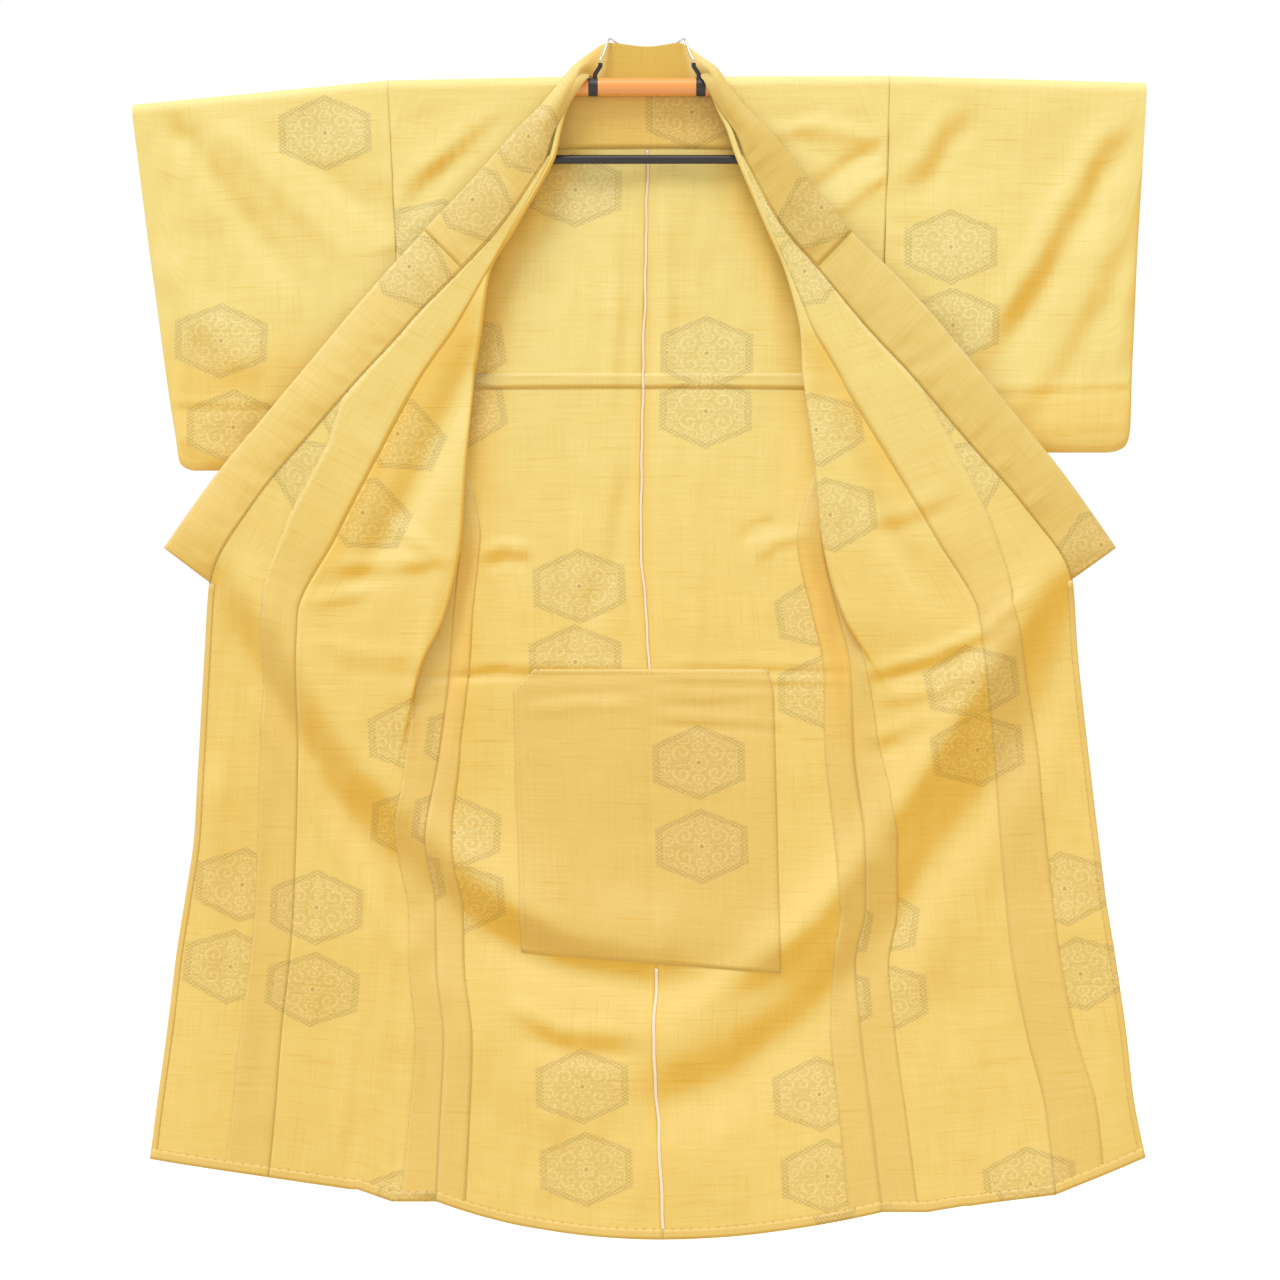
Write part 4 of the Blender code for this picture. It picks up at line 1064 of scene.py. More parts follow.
def tape_sheet(first, last, wide):
    rows = part_of(ROWS, first, last)
    L, R = back["left"][rows], back["right"][rows]
    centre = (L[:, 0] + R[:, 0]) / 2
    out = unit(R[:, 3] - L[:, 3])
    lift = facing(np.stack([L[:, 3], centre, R[:, 3]], axis=1))[:, 1]
    wave = (0.5 * wave_along(np.arange(len(rows)) * ROW_STEP, 60, 41))[:, None]
    lines = [centre + out * (wide / 2 * f + wave) + lift * (0.75 + 0.25 * (1 - f * f))
             for f in (-1, -0.5, 0, 0.5, 1)]
    return np.stack(lines, axis=1)

tuck = {side: tuck_sheet(side) for side in SIDES}
tape = {"upper": tape_sheet(TIP + 0.02, PATCH_TOP + 0.05, 3.2),
        "lower": tape_sheet(PATCH_LOW + 0.02, LAST - 0.05, 4.2)}
print("patch:", seat.shape, "lining:", lining.shape, "tape:", tape["upper"].shape)

# %% [markdown]
# ## The woven hexagons
#
# The cloth has large tortoiseshell hexagons filled with scrolls, woven in thread that is a shade
# duller than the ground. They are not printed on, so they follow each length's grain and stop at its
# seams. The table gives each hexagon's centre. Every face of a sheet takes the nearest centre and
# stores its own place in that hexagon, turned with the grain, as a UV map that the material reads.

# %% Places of the hexagons
HEXAGON_WIDE = 71.6     # mm across the grain for 1 of the pattern's own units
HEXAGON_HIGH = 50.6     # mm from the centre to the upper corner, along the grain
MOTIFS = {
    "sleeve_left": ((325, 133), (221, 341), (233, 427)),
    "sleeve_right": ((951, 247), (953, 325)),
    "front_left": ((398, 434), (363, 513), (415, 735), (417, 825), (316, 908), (312, 990), (437, 236),
                   (409, 1205)),
    "okumi_left": ((316, 478), (354, 406), (242, 885), (230, 967)),
    "front_right": ((816, 430), (830, 515), (972, 682), (978, 750), (873, 922), (882, 1000), (1031, 1185)),
    "okumi_right": ((962, 479), (926, 407), (1065, 889), (1081, 974)),
    "collar": ((529, 138), (473, 201), (410, 268), (821, 209), (1100, 545), (600, 300)),
    "back_left": ((575, 188), (579, 586), (575, 662), (458, 350), (459, 412), (454, 833), (458, 900),
                  (582, 1088), (586, 1171)),
    "back_right": ((707, 352), (706, 410), (823, 612), (825, 692), (820, 1096), (828, 1178)),
    "turned_okumi_left": ((316, 908), (312, 990)),
    "turned_okumi_right": ((972, 682), (978, 750), (1031, 1185), (768, 205), (804, 272)),
    "turned_front_right": ((826, 925), (826, 1003)),
    "turned_front_left": ((472, 742), (459, 824)),
    "turned_back_left": ((397, 885),),
    "seat": ((699, 763), (702, 847)),
    "lining": ((692, 110),),
}
print("hexagons:", sum(len(rows) for rows in MOTIFS.values()))

def corners_of(grid):
    """The four corners of every face of a grid."""
    return np.stack([grid[:-1, :-1], grid[:-1, 1:], grid[1:, 1:], grid[1:, :-1]], axis=2)

def motif_map(P, name):
    """Per face corner, the place in the nearest hexagon: across and along the grain, 1 at a corner."""
    corners = corners_of(P).reshape(-1, 4, 3)
    uv = np.full((len(corners), 4, 2), 9.0)
    centres = corners.mean(axis=1)
    best = np.full(len(corners), HEXAGON_WIDE * 1.2)
    for px, py in MOTIFS.get(name, ()):
        x0, z0 = from_picture(px, py)
        gap = (P[..., 0] - x0) ** 2 + (P[..., 2] - z0) ** 2
        i, j = np.unravel_index(np.argmin(gap), gap.shape)
        lo, hi = max(i - 6, 0), min(i + 6, P.shape[0] - 1)
        grain = P[lo, j] - P[hi, j]
        length = math.hypot(grain[0], grain[2]) or 1.0
        gx, gz = grain[0] / length, grain[2] / length
        away = np.hypot(centres[:, 0] - x0, centres[:, 2] - z0)
        mine = away < best
        best[mine] = away[mine]
        dx, dz = corners[mine, :, 0] - x0, corners[mine, :, 2] - z0
        uv[mine, :, 0] = (dx * gz - dz * gx) / HEXAGON_WIDE
        uv[mine, :, 1] = (dx * gx + dz * gz) / HEXAGON_HIGH
    return uv.reshape(-1, 2)

# %% A sheet as a mesh
def to_frame(P):
    """From millimetres at the bar to metres in the model's frame."""
    Q = np.array(P, float)
    Q[..., 1] -= EYE_Y
    Q[..., 2] -= HOOK_Z
    return Q * MM

def add_object(name, data):
    thing = bpy.data.objects.new(name, data)
    bpy.context.scene.collection.objects.link(thing)
    return thing

def sheet_mesh(name, P, motif, ply, thickness, shade):
    rows, columns = P.shape[:2]
    quads = corners_of(np.arange(rows * columns).reshape(rows, columns)).reshape(-1, 4)
    data = bpy.data.meshes.new(name)
    data.from_pydata(to_frame(P).reshape(-1, 3).tolist(), [], quads.tolist())
    across = run_along(P, 1)
    if name.startswith("front"):
        across -= across[:, -1:]
    down = np.broadcast_to(run_along(P).mean(axis=1)[:, None], (rows, columns))
    cloth = np.stack([across, down], axis=2).reshape(-1, 2) * MM
    for word, places in (("cloth", cloth[quads.reshape(-1)]), ("motif", motif_map(P, motif))):
        layer = data.uv_layers.new(name=word)
        layer.data.foreach_set("uv", places.ravel())
    for word, values in (("ply", ply), ("shade", shade)):
        layer = data.attributes.new(word, "FLOAT", "POINT")
        layer.data.foreach_set("value", np.broadcast_to(values, (rows, columns)).astype(float).ravel())
    data.shade_smooth()
    piece = add_object(name, data)
    shell = piece.modifiers.new("Thickness", "SOLIDIFY")
    shell.thickness = thickness * MM
    shell.offset = 0
    return piece

# %% [markdown]
# ## The silk's material
#
# Tsumugi is woven from hand-spun silk, so its threads are thick and thin. The material draws them as
# noise that is stretched hard along the weft and, more weakly, along the warp, and reads the cloth's
# own UV map in metres, so the threads follow every fold. A second layer behind the cloth lets less
# light through, so doubled cloth is deeper in colour: that is the attribute called ply.

# %% Small tools for building materials
class Finish:
    """A material and short ways to add and join its nodes."""

    def __init__(self, name):
        self.material = bpy.data.materials.new(name)
        self.material.use_nodes = True
        self.tree = self.material.node_tree
        self.shader = self.tree.nodes["Principled BSDF"]

    def node(self, kind, **settings):
        made = self.tree.nodes.new(kind)
        for key, value in settings.items():
            setattr(made, key, value)
        return made

    def put(self, socket, value):
        if isinstance(value, bpy.types.NodeSocket):
            self.tree.links.new(value, socket)
        else:
            socket.default_value = value

    def fill(self, node, values):
        for name, value in values.items():
            self.put(node.inputs[name], value)

    def join(self, kind, values, **settings):
        """A node that is given its inputs in their order."""
        made = self.node(kind, **settings)
        for socket, value in zip(made.inputs, values):
            self.put(socket, value)
        return made.outputs[0]

    def math(self, operation, a, b=0.0):
        return self.join("ShaderNodeMath", (a, b), operation=operation)

    def sums(self):
        """Short names for the four sums that are needed most."""
        return [partial(self.math, word) for word in ("MULTIPLY", "ADD", "SUBTRACT", "MAXIMUM")]

    def band(self, value, low, high, start=0.0, end=1.0):
        values = (value, low, high, start, end)
        return self.join("ShaderNodeMapRange", values, interpolation_type="SMOOTHSTEP")

    def vector(self, x, y, z=0.0):
        return self.join("ShaderNodeCombineXYZ", (x, y, z))

    def noise(self, vector, scale, detail=2.0, roughness=0.5):
        made = self.node("ShaderNodeTexNoise")
        self.fill(made, {"Vector": vector, "Scale": scale, "Detail": detail, "Roughness": roughness})
        return made.outputs["Fac"]

    def split(self, vector):
        made = self.node("ShaderNodeSeparateXYZ")
        self.put(made.inputs[0], vector)
        return made.outputs[0], made.outputs[1], made.outputs[2]

    def mapped(self, name):
        """The place across and along the grain that a UV map gives."""
        return self.split(self.node("ShaderNodeUVMap", uv_map=name).outputs["UV"])[:2]

    def blend(self, share, a, b, mode="MIX"):
        made = self.node("ShaderNodeMix", data_type="RGBA", blend_type=mode)
        self.fill(made, {"Factor": share, "A": a, "B": b})
        return made.outputs["Result"]

    def tint(self, share, colour, by):
        """A colour, multiplied by another one as far as share says."""
        return self.blend(share, colour, self.blend(1.0, colour, by, "MULTIPLY"))

    def bump(self, height, distance):
        made = self.node("ShaderNodeBump")
        self.fill(made, {"Strength": 0.3, "Distance": distance, "Height": height})
        self.put(self.shader.inputs["Normal"], made.outputs[0])

# %% Threads and slubs
def threads(finish, s, t):
    """Weft, slubs and warp as stretched noises, and the few threads that are plainly darker."""
    times, _, _, most = finish.sums()

    def stretched(across, along, shift=0.0, detail=2.0):
        return finish.noise(finish.vector(times(s, across), times(t, along), shift), 1.0, detail, 0.6)

    weft, slub, warp = stretched(15, 430), stretched(9, 190, 3.0), stretched(430, 9, 5.0)
    dark = most(finish.band(stretched(11, 330, 7.0, 1.0), 0.62, 0.72),
                times(finish.band(stretched(380, 13, 9.0, 1.0), 0.64, 0.74), 0.8))
    return weft, slub, warp, dark

# %% The hexagon with its scrolls
Curl = namedtuple("Curl", "u v wide high turns")
CURLS = rows_of(Curl, (0.31, 0.27, 0.19, 0.23, 1), (0.62, 0.17, 0.15, 0.19, -1),
                (0.25, 0.63, 0.16, 0.18, -1), (0.56, 0.48, 0.13, 0.14, 1))
LEAVES = rows_of(Curl, (0, 0.70, 0.09, 0.16, 0), (0, 0.43, 0.12, 0.13, 0))
FLOWER, DOT = rows_of(Curl, (0, 0, 0.20, 0.27, 0), (0, 0, 0.038, 0.056, 0))
COS_30 = 0.866

def hexagon(finish, s, t):
    """Masks for the inside of the hexagon, its dull lines, its pale scrolls and its dark dot."""
    m, band = finish.math, finish.band
    times, plus, minus, most = finish.sums()
    across, along = finish.mapped("motif")
    rough = finish.noise(finish.vector(times(s, 300), times(t, 900)), 1.0, 1.0)
    fuzz = times(minus(rough, 0.5), 0.055)
    u, v = m("ABSOLUTE", plus(across, fuzz)), m("ABSOLUTE", plus(along, fuzz))
    slant = plus(times(u, 0.5), times(v, COS_30))
    edge = m("DIVIDE", most(u, slant), COS_30)

    def line(value, low, high, soft=0.012):
        return times(band(value, low - soft, low), band(value, high + soft, high))

    def length(x, y):
        return m("SQRT", plus(times(x, x), times(y, y)))

    def polar(curl):
        x = m("DIVIDE", minus(u, curl.u), curl.wide)
        y = m("DIVIDE", minus(v, curl.v), curl.high)
        return length(x, y), m("ARCTAN2", y, x)

    # the border: a row of beads, with a pale line inside it
    inside, field = band(edge, 1.015, 0.975), band(edge, 0.80, 0.785)
    bead = times(m("SINE", times(v, 66)), m("SINE", times(plus(u, 0.02), 60)))
    rows = line(edge, 0.84, 0.985)
    dull = times(rows, band(bead, 0.0, 0.45, 0.25, 1.0))
    pale = times(most(line(edge, 0.80, 0.82), times(rows, band(bead, -0.1, -0.5))), 0.75)
    # the field: four scrolls mirrored both ways, leaves, a flower and a grid of small rings
    scrolls = 0.0
    for curl in CURLS:
        away, angle = polar(curl)
        wave = m("SINE", plus(times(angle, curl.turns), times(away, 8.8)))
        scrolls = most(scrolls, times(band(wave, 0.1, 0.6), band(away, 1.08, 0.98)))
    for leaf in LEAVES:
        away, _ = polar(leaf)
        scrolls = most(scrolls, most(line(away, 0.72, 1.0, 0.1), band(away, 0.42, 0.25)))
    away, angle = polar(FLOWER)
    petal = minus(away, times(m("COSINE", times(angle, 8)), 0.16))
    scrolls = most(scrolls, most(line(petal, 0.62, 0.80, 0.08), line(away, 0.20, 0.34, 0.08)))
    a, b = (minus(m("FRACT", times(value, count)), 0.5) for value, count in ((u, 10.4), (v, 7.4)))
    scrolls = most(scrolls, times(line(length(a, b), 0.18, 0.36, 0.09), 0.35))
    woven = finish.noise(finish.vector(times(s, 260), times(t, 480), 2.0), 1.0, 2.0)
    pale = times(most(pale, times(scrolls, field)), band(woven, 0.32, 0.58, 0.35, 1.0))
    away, _ = polar(DOT)
    return inside, times(dull, band(woven, 0.30, 0.55, 0.5, 1.0)), pale, band(away, 1.1, 0.8), woven

# %% Silk in one layer and in two
# Colours of the silk: the first six are painted light and painted shade; the doubled cloth's and the dark threads'
# follow
SILK = {"high": (0.872, 0.722, 0.272, 1), "low": (0.838, 0.618, 0.188, 1),
        "turned_down": (0.850, 0.525, 0.082, 1), "turned_up": (1.0, 1.035, 1.22, 1),
        "shaded": (0.90, 0.585, 0.12, 1), "deep": (0.765, 0.62, 0.28, 1),
        "double": (0.950, 0.915, 0.90, 1), "dark_thread": (0.95, 0.87, 0.66, 1)}
MARK = {"ground": (0.875, 0.885, 0.95, 1), "dull": (0.735, 0.73, 0.745, 1),
        "pale": (1.02, 1.055, 1.27, 1), "dot": (0.66, 0.64, 0.78, 1)}

def silk(name, ply=0.0):
    """Slubby silk. Where it faces down it is painted deeper, as shade and as light that comes through it rather than
    off it; where it faces up it is painted paler, as light.
    """
    finish = Finish(name)
    blend, band, tint = finish.blend, finish.band, finish.tint
    times, plus, minus, _ = finish.sums()
    s, t = finish.mapped("cloth")
    weft, slub, warp, dark = threads(finish, s, t)
    layer, shade = (finish.node("ShaderNodeAttribute", attribute_name=word).outputs["Fac"]
                    for word in ("ply", "shade"))
    layer = plus(layer, ply)
    place = finish.node("ShaderNodeTexCoord").outputs
    _, _, height = finish.split(place["Object"])
    nx, ny, nz = finish.split(place["Normal"])
    # the side that shows in front is the shaded one
    shade = times(shade, band(ny, -0.15, 0.25, 1.0, 0.25))
    # how far the cloth faces the lamp, which shines from above and the left; it steers the painted light and shade
    # below
    slope = minus(times(nz, 0.95), times(nx, 0.28))
    single = minus(1.0, times(layer, 0.55))
    # painted light shining through the single cloth: deeper gold towards the hem, paler towards the shoulders
    ground = blend(band(height, -0.95, -0.30), SILK["low"], SILK["high"])
    # painted shade where the cloth faces down, away from the lamp
    ground = blend(times(band(slope, 0.02, -0.33), single), ground, SILK["turned_down"])
    ground = blend(shade, ground, SILK["shaded"])
    # where the attribute shade is below 0: darker painted shade rather than yellower
    ground = tint(times(shade, -1.0), ground, SILK["deep"])
    # painted light where the cloth faces up to the lamp
    ground = tint(band(slope, 0.0, 0.22), ground, SILK["turned_up"])
    ground = tint(layer, ground, SILK["double"])
    inside, dull, pale, dot, woven = hexagon(finish, s, t)
    mark = blend(dull, MARK["ground"], MARK["dull"])
    mark = blend(pale, mark, MARK["pale"])
    mark = blend(times(dot, 0.85), mark, MARK["dot"])
    colour = tint(times(dark, 0.75), tint(inside, ground, mark), SILK["dark_thread"])
    cloud = finish.noise(place["Object"], 5.0, 3.0)
    change = 0.0
    for noise, strength in ((weft, 0.17), (slub, 0.13), (warp, 0.17), (cloud, 0.09)):
        change = plus(change, times(minus(noise, 0.5), strength))
    change = plus(change, times(times(minus(woven, 0.5), inside), 0.32))
    # a thin place is paler, a thick place is yellower rather than darker
    value = finish.vector(*(plus(1.0, times(change, share)) for share in (0.55, 0.8, 2.1)))
    finish.fill(finish.shader, {"Base Color": blend(1.0, colour, value, "MULTIPLY"), "Roughness": 0.78,
                                "Specular IOR Level": 0.25, "Sheen Weight": 0.12, "Sheen Roughness": 0.5})
    finish.bump(plus(plus(times(weft, 0.6), slub), times(warp, 0.8)), 0.0004)
    return finish.material

silk_single = silk("gold_silk")
silk_double = silk("gold_silk_doubled", ply=1.0)
silk_collar = silk("gold_silk_collar", ply=0.30)
print("silk materials:", silk_single.name, silk_double.name, silk_collar.name)

# %% Tape, tube, plastic, wire and thread
def plain(name, colour, roughness, grain, grain_scale, metallic=0.0, coat=0.0):
    """A finish with a fine grain of its own, for the small hard pieces and the tape."""
    finish = Finish(name)
    place = finish.node("ShaderNodeTexCoord").outputs["Object"]
    fleck = finish.noise(place, grain_scale, 4.0, 0.6)
    times, plus, minus, _ = finish.sums()
    value = plus(times(minus(fleck, 0.5), grain), 1.0)
    finish.fill(finish.shader, {
        "Base Color": finish.blend(1.0, colour, finish.vector(value, value, value), "MULTIPLY"),
        "Roughness": finish.band(fleck, 0.2, 0.8, roughness - 0.06, roughness + 0.06),
        "Metallic": metallic, "Coat Weight": coat})
    finish.bump(fleck, 0.0002)
    return finish.material

white_tape = plain("white_tape", (0.93, 0.78, 0.62, 1), 0.8, 0.22, 700.0)
orange_tube = plain("orange_tube", (0.93, 0.37, 0.085, 1), 0.30, 0.06, 60.0, coat=0.7)
black_plastic = plain("black_plastic", (0.022, 0.020, 0.026, 1), 0.42, 0.3, 300.0)
steel_wire = plain("steel_wire", (0.70, 0.69, 0.68, 1), 0.3, 0.15, 500.0, metallic=1.0)
gold_thread = plain("gold_thread", (0.70, 0.46, 0.13, 1), 0.7, 0.2, 800.0)

# %% [markdown]
# ## Laying out every sheet
#
# Each width of cloth becomes a mesh with its own grain. The doubled places carry ply, from 0 for one
# layer to 1 for two. Strips that lie on a sheet take the same hexagons as the sheet below them, so
# that the pattern shows through without a break.

# %% Sheets of the body and sleeves
made = {}
grids = {}

def put_sheet(name, P, motif=None, ply=0.0, material=silk_single, thickness=SHEET, shade=0.0):
    piece = sheet_mesh(name, P, motif, ply, thickness, shade)
    piece.data.materials.append(material)
    made[name], grids[name] = piece, P

def between_heights(z, top, full, last, none):
    """1 between two heights, and a straight way to 0 above and below."""
    return ramp(z, top, full) * ramp(z, none, last)

# Beside each overlap panel's seam: depth of the shade, its reach, and the heights where it starts,
# is full, begins to fade and is gone
SEAM_SHADE = {"left": (0.95, 24, (-250, -310, -600, -700)), "right": (0.9, 20, (-310, -350, -500, -580))}
# Down a sleeve: depth of the shade, and how far down it starts and is full
SLEEVE_SHADE = {"left": (0.35, 300, 380), "right": (0.3, 385, 415)}
SLEEVE_HEM = {"left": 11, "right": 24}
BACK_SHADE = {"left": 0.6, "right": 0.35}
BEHIND_REACH = 62.0     # how far the back is shaded beside the front's turned edge
SEAM_REACH = 5.5

def front_shade(side):
    """The overlap panel stands in front of the front width beside their seam and shades it."""
    strength, reach, heights = SEAM_SHADE[side]
    away = run_along(front[side][:, ::-1], 1)[:, ::-1]
    return strength * np.exp(-away / reach) * between_heights(front[side][..., 2], *heights)

def back_shade(side):
    """Painted shade on the back: beside its seam, and where it goes behind the front's turned edge."""
    x, z = back[side][..., 0], back[side][..., 2]
    turned = front[side][part_of(ROWS, 1)]
    rim = np.interp(-z, -turned[..., 2].mean(axis=1), np.abs(turned[..., 0]).min(axis=1))
    behind = smooth(1 - (rim - np.abs(x)) / BEHIND_REACH) * ramp(z, -40, -100)
    most = BACK_SHADE[side] + 0.3 * ramp(z, -420, -260)
    beside_seam = np.exp(-np.abs(x - x[:, :1]) / SEAM_REACH) * ramp(z, -90, -110)
    beside_seam *= 0.4 + 0.6 * ramp(z, -140, -400)
    return np.maximum(most * behind * ramp(z, -1250, -950), 0.9 * beside_seam)

for side in SIDES:
    put_sheet(f"front_{side}_cloth", front[side], f"front_{side}", shade=front_shade(side))
    put_sheet(f"okumi_{side}_cloth", okumi[side], f"okumi_{side}")
    put_sheet(f"back_{side}_cloth", back[side], f"back_{side}", shade=back_shade(side))
    most, first, full = SLEEVE_SHADE[side]
    for face, word in ((-1, "front"), (1, "back")):
        P = sleeve[side, face]
        run = run_along(P)
        ply = 0.8 * (run[-1] - run < SLEEVE_HEM[side]) if face < 0 else 0.0
        shade = most * ramp(-P[..., 2], first, full)
        put_sheet(f"sleeve_{side}_{word}_cloth", P, f"sleeve_{side}", ply, shade=shade)

# %% Collars
# painted shade on the collar: yellower near the neck, and below 0 darker rather than yellower, inside the neck and on
# the side away from the light
shade_inside_neck = ramp(np.abs(rails[:, 0]), 72, 58) * (rail_at < 0)
from_light = ramp(rails[:, 0], 70, 90)
covered = rail_at <= OVER_COLLAR_END
neck_shade = (0.15 + 0.45 * ramp(rail_at, 2, -1)) * (1 - shade_inside_neck) * (1 - from_light)
neck_shade -= 0.95 * shade_inside_neck + from_light * np.where(covered, 0.5, 0.28)
neck_shade = neck_shade[:, None]
put_sheet("collar_cloth", collar, "collar", 0.5, silk_collar, 1.0, neck_shade)
put_sheet("over_collar_cloth", over_collar, "collar", 0.7, silk_collar, 0.4, neck_shade[covered])

# %% Strips, patch, lining and tuck
for name, P in bands.items():
    kind, body, side = name.split("_")
    source = f"okumi_{side}" if body == "edge" else f"{body}_{side}"
    if kind == "allowance":
        source = "turned_" + source
    less_doubled = pleat_shade = 0.0
    if name.startswith("allowance_okumi"):
        # above the waist this allowance is painted paler, with less of the doubled cloth's deeper colour
        less_doubled = -0.75 * ramp(P[..., 2], -700, -580)
    if name.startswith("allowance_back"):
        # painted shade down in the pleat that stands beside the side seam
        pleat_shade = 0.6 * between_heights(P[..., 2], -560, -620, -780, -900)
    put_sheet(name, P, source, less_doubled, silk_double, shade=pleat_shade)
put_sheet("seat_patch", seat, "seat", 0.0, silk_double)
# painted shade on the shoulder lining, which lies behind the back of the neck
put_sheet("shoulder_lining_cloth", lining, "lining", 0.0, silk_double, shade=0.6)
for side in SIDES:
    put_sheet(f"tuck_{side}", tuck[side], f"back_{side}", 0.7)
for name, P in tape.items():
    put_sheet(f"tape_{name}", P, None, 0.0, white_tape, 0.35)
print("sheets:", len(made))

# %% [markdown]
# ## Stitches
#
# Hems and allowances are caught down by hand with small running stitches. One Geometry Nodes group
# lays a short rounded thread along any curve, again and again. Its inputs are named, so that spacing
# and length can differ from seam to seam.

# %% A node group that sews along a curve
STITCH_INPUTS = (("Geometry", "Geometry", None), ("Spacing", "Float", 0.012), ("Length", "Float", 0.003),
                 ("Thread", "Float", 0.00035), ("Material", "Material", None))
STITCH_NODES = {
    "start": "NodeGroupInput", "end": "NodeGroupOutput", "curve": "GeometryNodeMeshToCurve",
    "points": "GeometryNodeCurveToPoints", "thread": "GeometryNodeMeshUVSphere",
    "size": "ShaderNodeCombineXYZ", "half": "ShaderNodeMath", "place": "GeometryNodeInstanceOnPoints",
    "realize": "GeometryNodeRealizeInstances", "finish": "GeometryNodeSetMaterial",
}
# From a node's output to another node's input
STITCH_LINKS = (
    ("start", "Geometry", "curve", "Mesh"), ("curve", 0, "points", "Curve"),
    ("start", "Spacing", "points", "Length"), ("points", "Points", "place", "Points"),
    ("points", "Rotation", "place", "Rotation"), ("thread", "Mesh", "place", "Instance"),
    ("start", "Length", "half", 0), ("start", "Thread", "size", "X"), ("start", "Thread", "size", "Y"),
    ("half", 0, "size", "Z"), ("size", 0, "place", "Scale"), ("place", "Instances", "realize", 0),
    ("realize", 0, "finish", "Geometry"), ("start", "Material", "finish", "Material"),
    ("finish", 0, "end", "Geometry"),
)

def stitch_group():
    group = bpy.data.node_groups.new("running_stitch", "GeometryNodeTree")
    for name, kind, start in STITCH_INPUTS:
        socket = group.interface.new_socket(name, in_out="INPUT", socket_type="NodeSocket" + kind)
        if start is not None:
            socket.default_value = start
    group.interface.new_socket("Geometry", in_out="OUTPUT", socket_type="NodeSocketGeometry")
    nodes = {word: group.nodes.new(kind) for word, kind in STITCH_NODES.items()}
    nodes["points"].mode = "LENGTH"
    nodes["half"].operation = "MULTIPLY"
    nodes["half"].inputs[1].default_value = 0.5
    for name, value in (("Segments", 6), ("Rings", 5), ("Radius", 1.0)):
        nodes["thread"].inputs[name].default_value = value
    for source, output, target, entry in STITCH_LINKS:
        group.links.new(nodes[source].outputs[output], nodes[target].inputs[entry])
    return group

STITCHES = stitch_group()

def put_baked(name, guide):
    """The finished mesh of a guide as a piece of its own, in place of the guide."""
    view = bpy.context.evaluated_depsgraph_get()
    data = bpy.data.meshes.new_from_object(guide.evaluated_get(view))
    bpy.data.objects.remove(guide)
    data.name = name
    made[name] = add_object(name, data)
    return data

def sew(name, lines, spacing, length, thread):
    """Stitches along polylines of millimetre points, as one mesh; their sizes are in metres."""
    points, edges = [], []
    for line in lines:
        first = len(points)
        points += to_frame(line).tolist()
        edges += [(first + k, first + k + 1) for k in range(len(line) - 1)]
    data = bpy.data.meshes.new(name + "_guide")
    data.from_pydata(points, edges, [])
    guide = add_object(name + "_guide", data)
    modifier = guide.modifiers.new("Stitches", "NODES")
    modifier.node_group = STITCHES
    values = {"Spacing": spacing, "Length": length, "Thread": thread, "Material": gold_thread}
    for item in STITCHES.interface.items_tree:
        if item.item_type == "SOCKET" and item.in_out == "INPUT" and item.name in values:
            modifier[item.identifier] = values[item.name]
    put_baked(name, guide)

# %% Sewing the strips down
def line_on(P, column=-1, lift=0.45):
    return P[:, column] + facing(P)[:, column] * lift

for side in SIDES:
    edges = [line_on(bands[f"allowance_{word}_{side}"]) for word in ("back", "front", "okumi")]
    sew(f"allowance_stitches_{side}", edges, 0.034, 0.0022, 0.0003)
    hems = [line_on(bands[f"hem_{word}_{side}"]) for word in ("edge", "back", "front", "okumi")]
    sew(f"hem_stitches_{side}", hems, 0.012, 0.0028, 0.00032)
    sew(f"tuck_stitches_{side}", [line_on(tuck[side].transpose(1, 0, 2))], 0.007, 0.0032, 0.00035)
rim = [line_on(P, column) for P in (seat, seat.transpose(1, 0, 2)) for column in (1, -2)]
sew("patch_stitches", rim, 0.008, 0.003, 0.00035)
sew("lining_stitches", [line_on(lining.transpose(1, 0, 2))], 0.012, 0.0026, 0.00032)
print("stitch pieces:", ", ".join(name for name in made if "stitches" in name))

# %% [markdown]
# ## The hanger
#
# The hanger is an orange tube with a black clamp ring on each side of the neck, two bent wires that
# join in an eye, and a black bar below for the sash. Each piece is a curve with a round bevel, made
# with the same sizes as in the fixed model.

# %% Rods
def rod(name, points, radius, material, resolution=6, smooth_path=False):
    curve = bpy.data.curves.new(name, "CURVE")
    curve.dimensions = "3D"
    curve.bevel_depth = radius * MM
    curve.bevel_resolution = resolution
    curve.use_fill_caps = True
    if smooth_path:
        spline = curve.splines.new("BEZIER")
        spline.bezier_points.add(len(points) - 1)
        for knot, p in zip(spline.bezier_points, points):
            knot.co = to_frame(p)
            knot.handle_left_type = knot.handle_right_type = "AUTO"
        spline.resolution_u = 10
    else:
        spline = curve.splines.new("POLY")
        spline.points.add(len(points) - 1)
        for knot, p in zip(spline.points, points):
            knot.co = (*to_frame(p), 1)
    data = put_baked(name, add_object(name + "_guide", curve))
    data.materials.clear()
    data.materials.append(material)
    data.shade_smooth()
    data.set_sharp_from_angle(angle=math.radians(50))

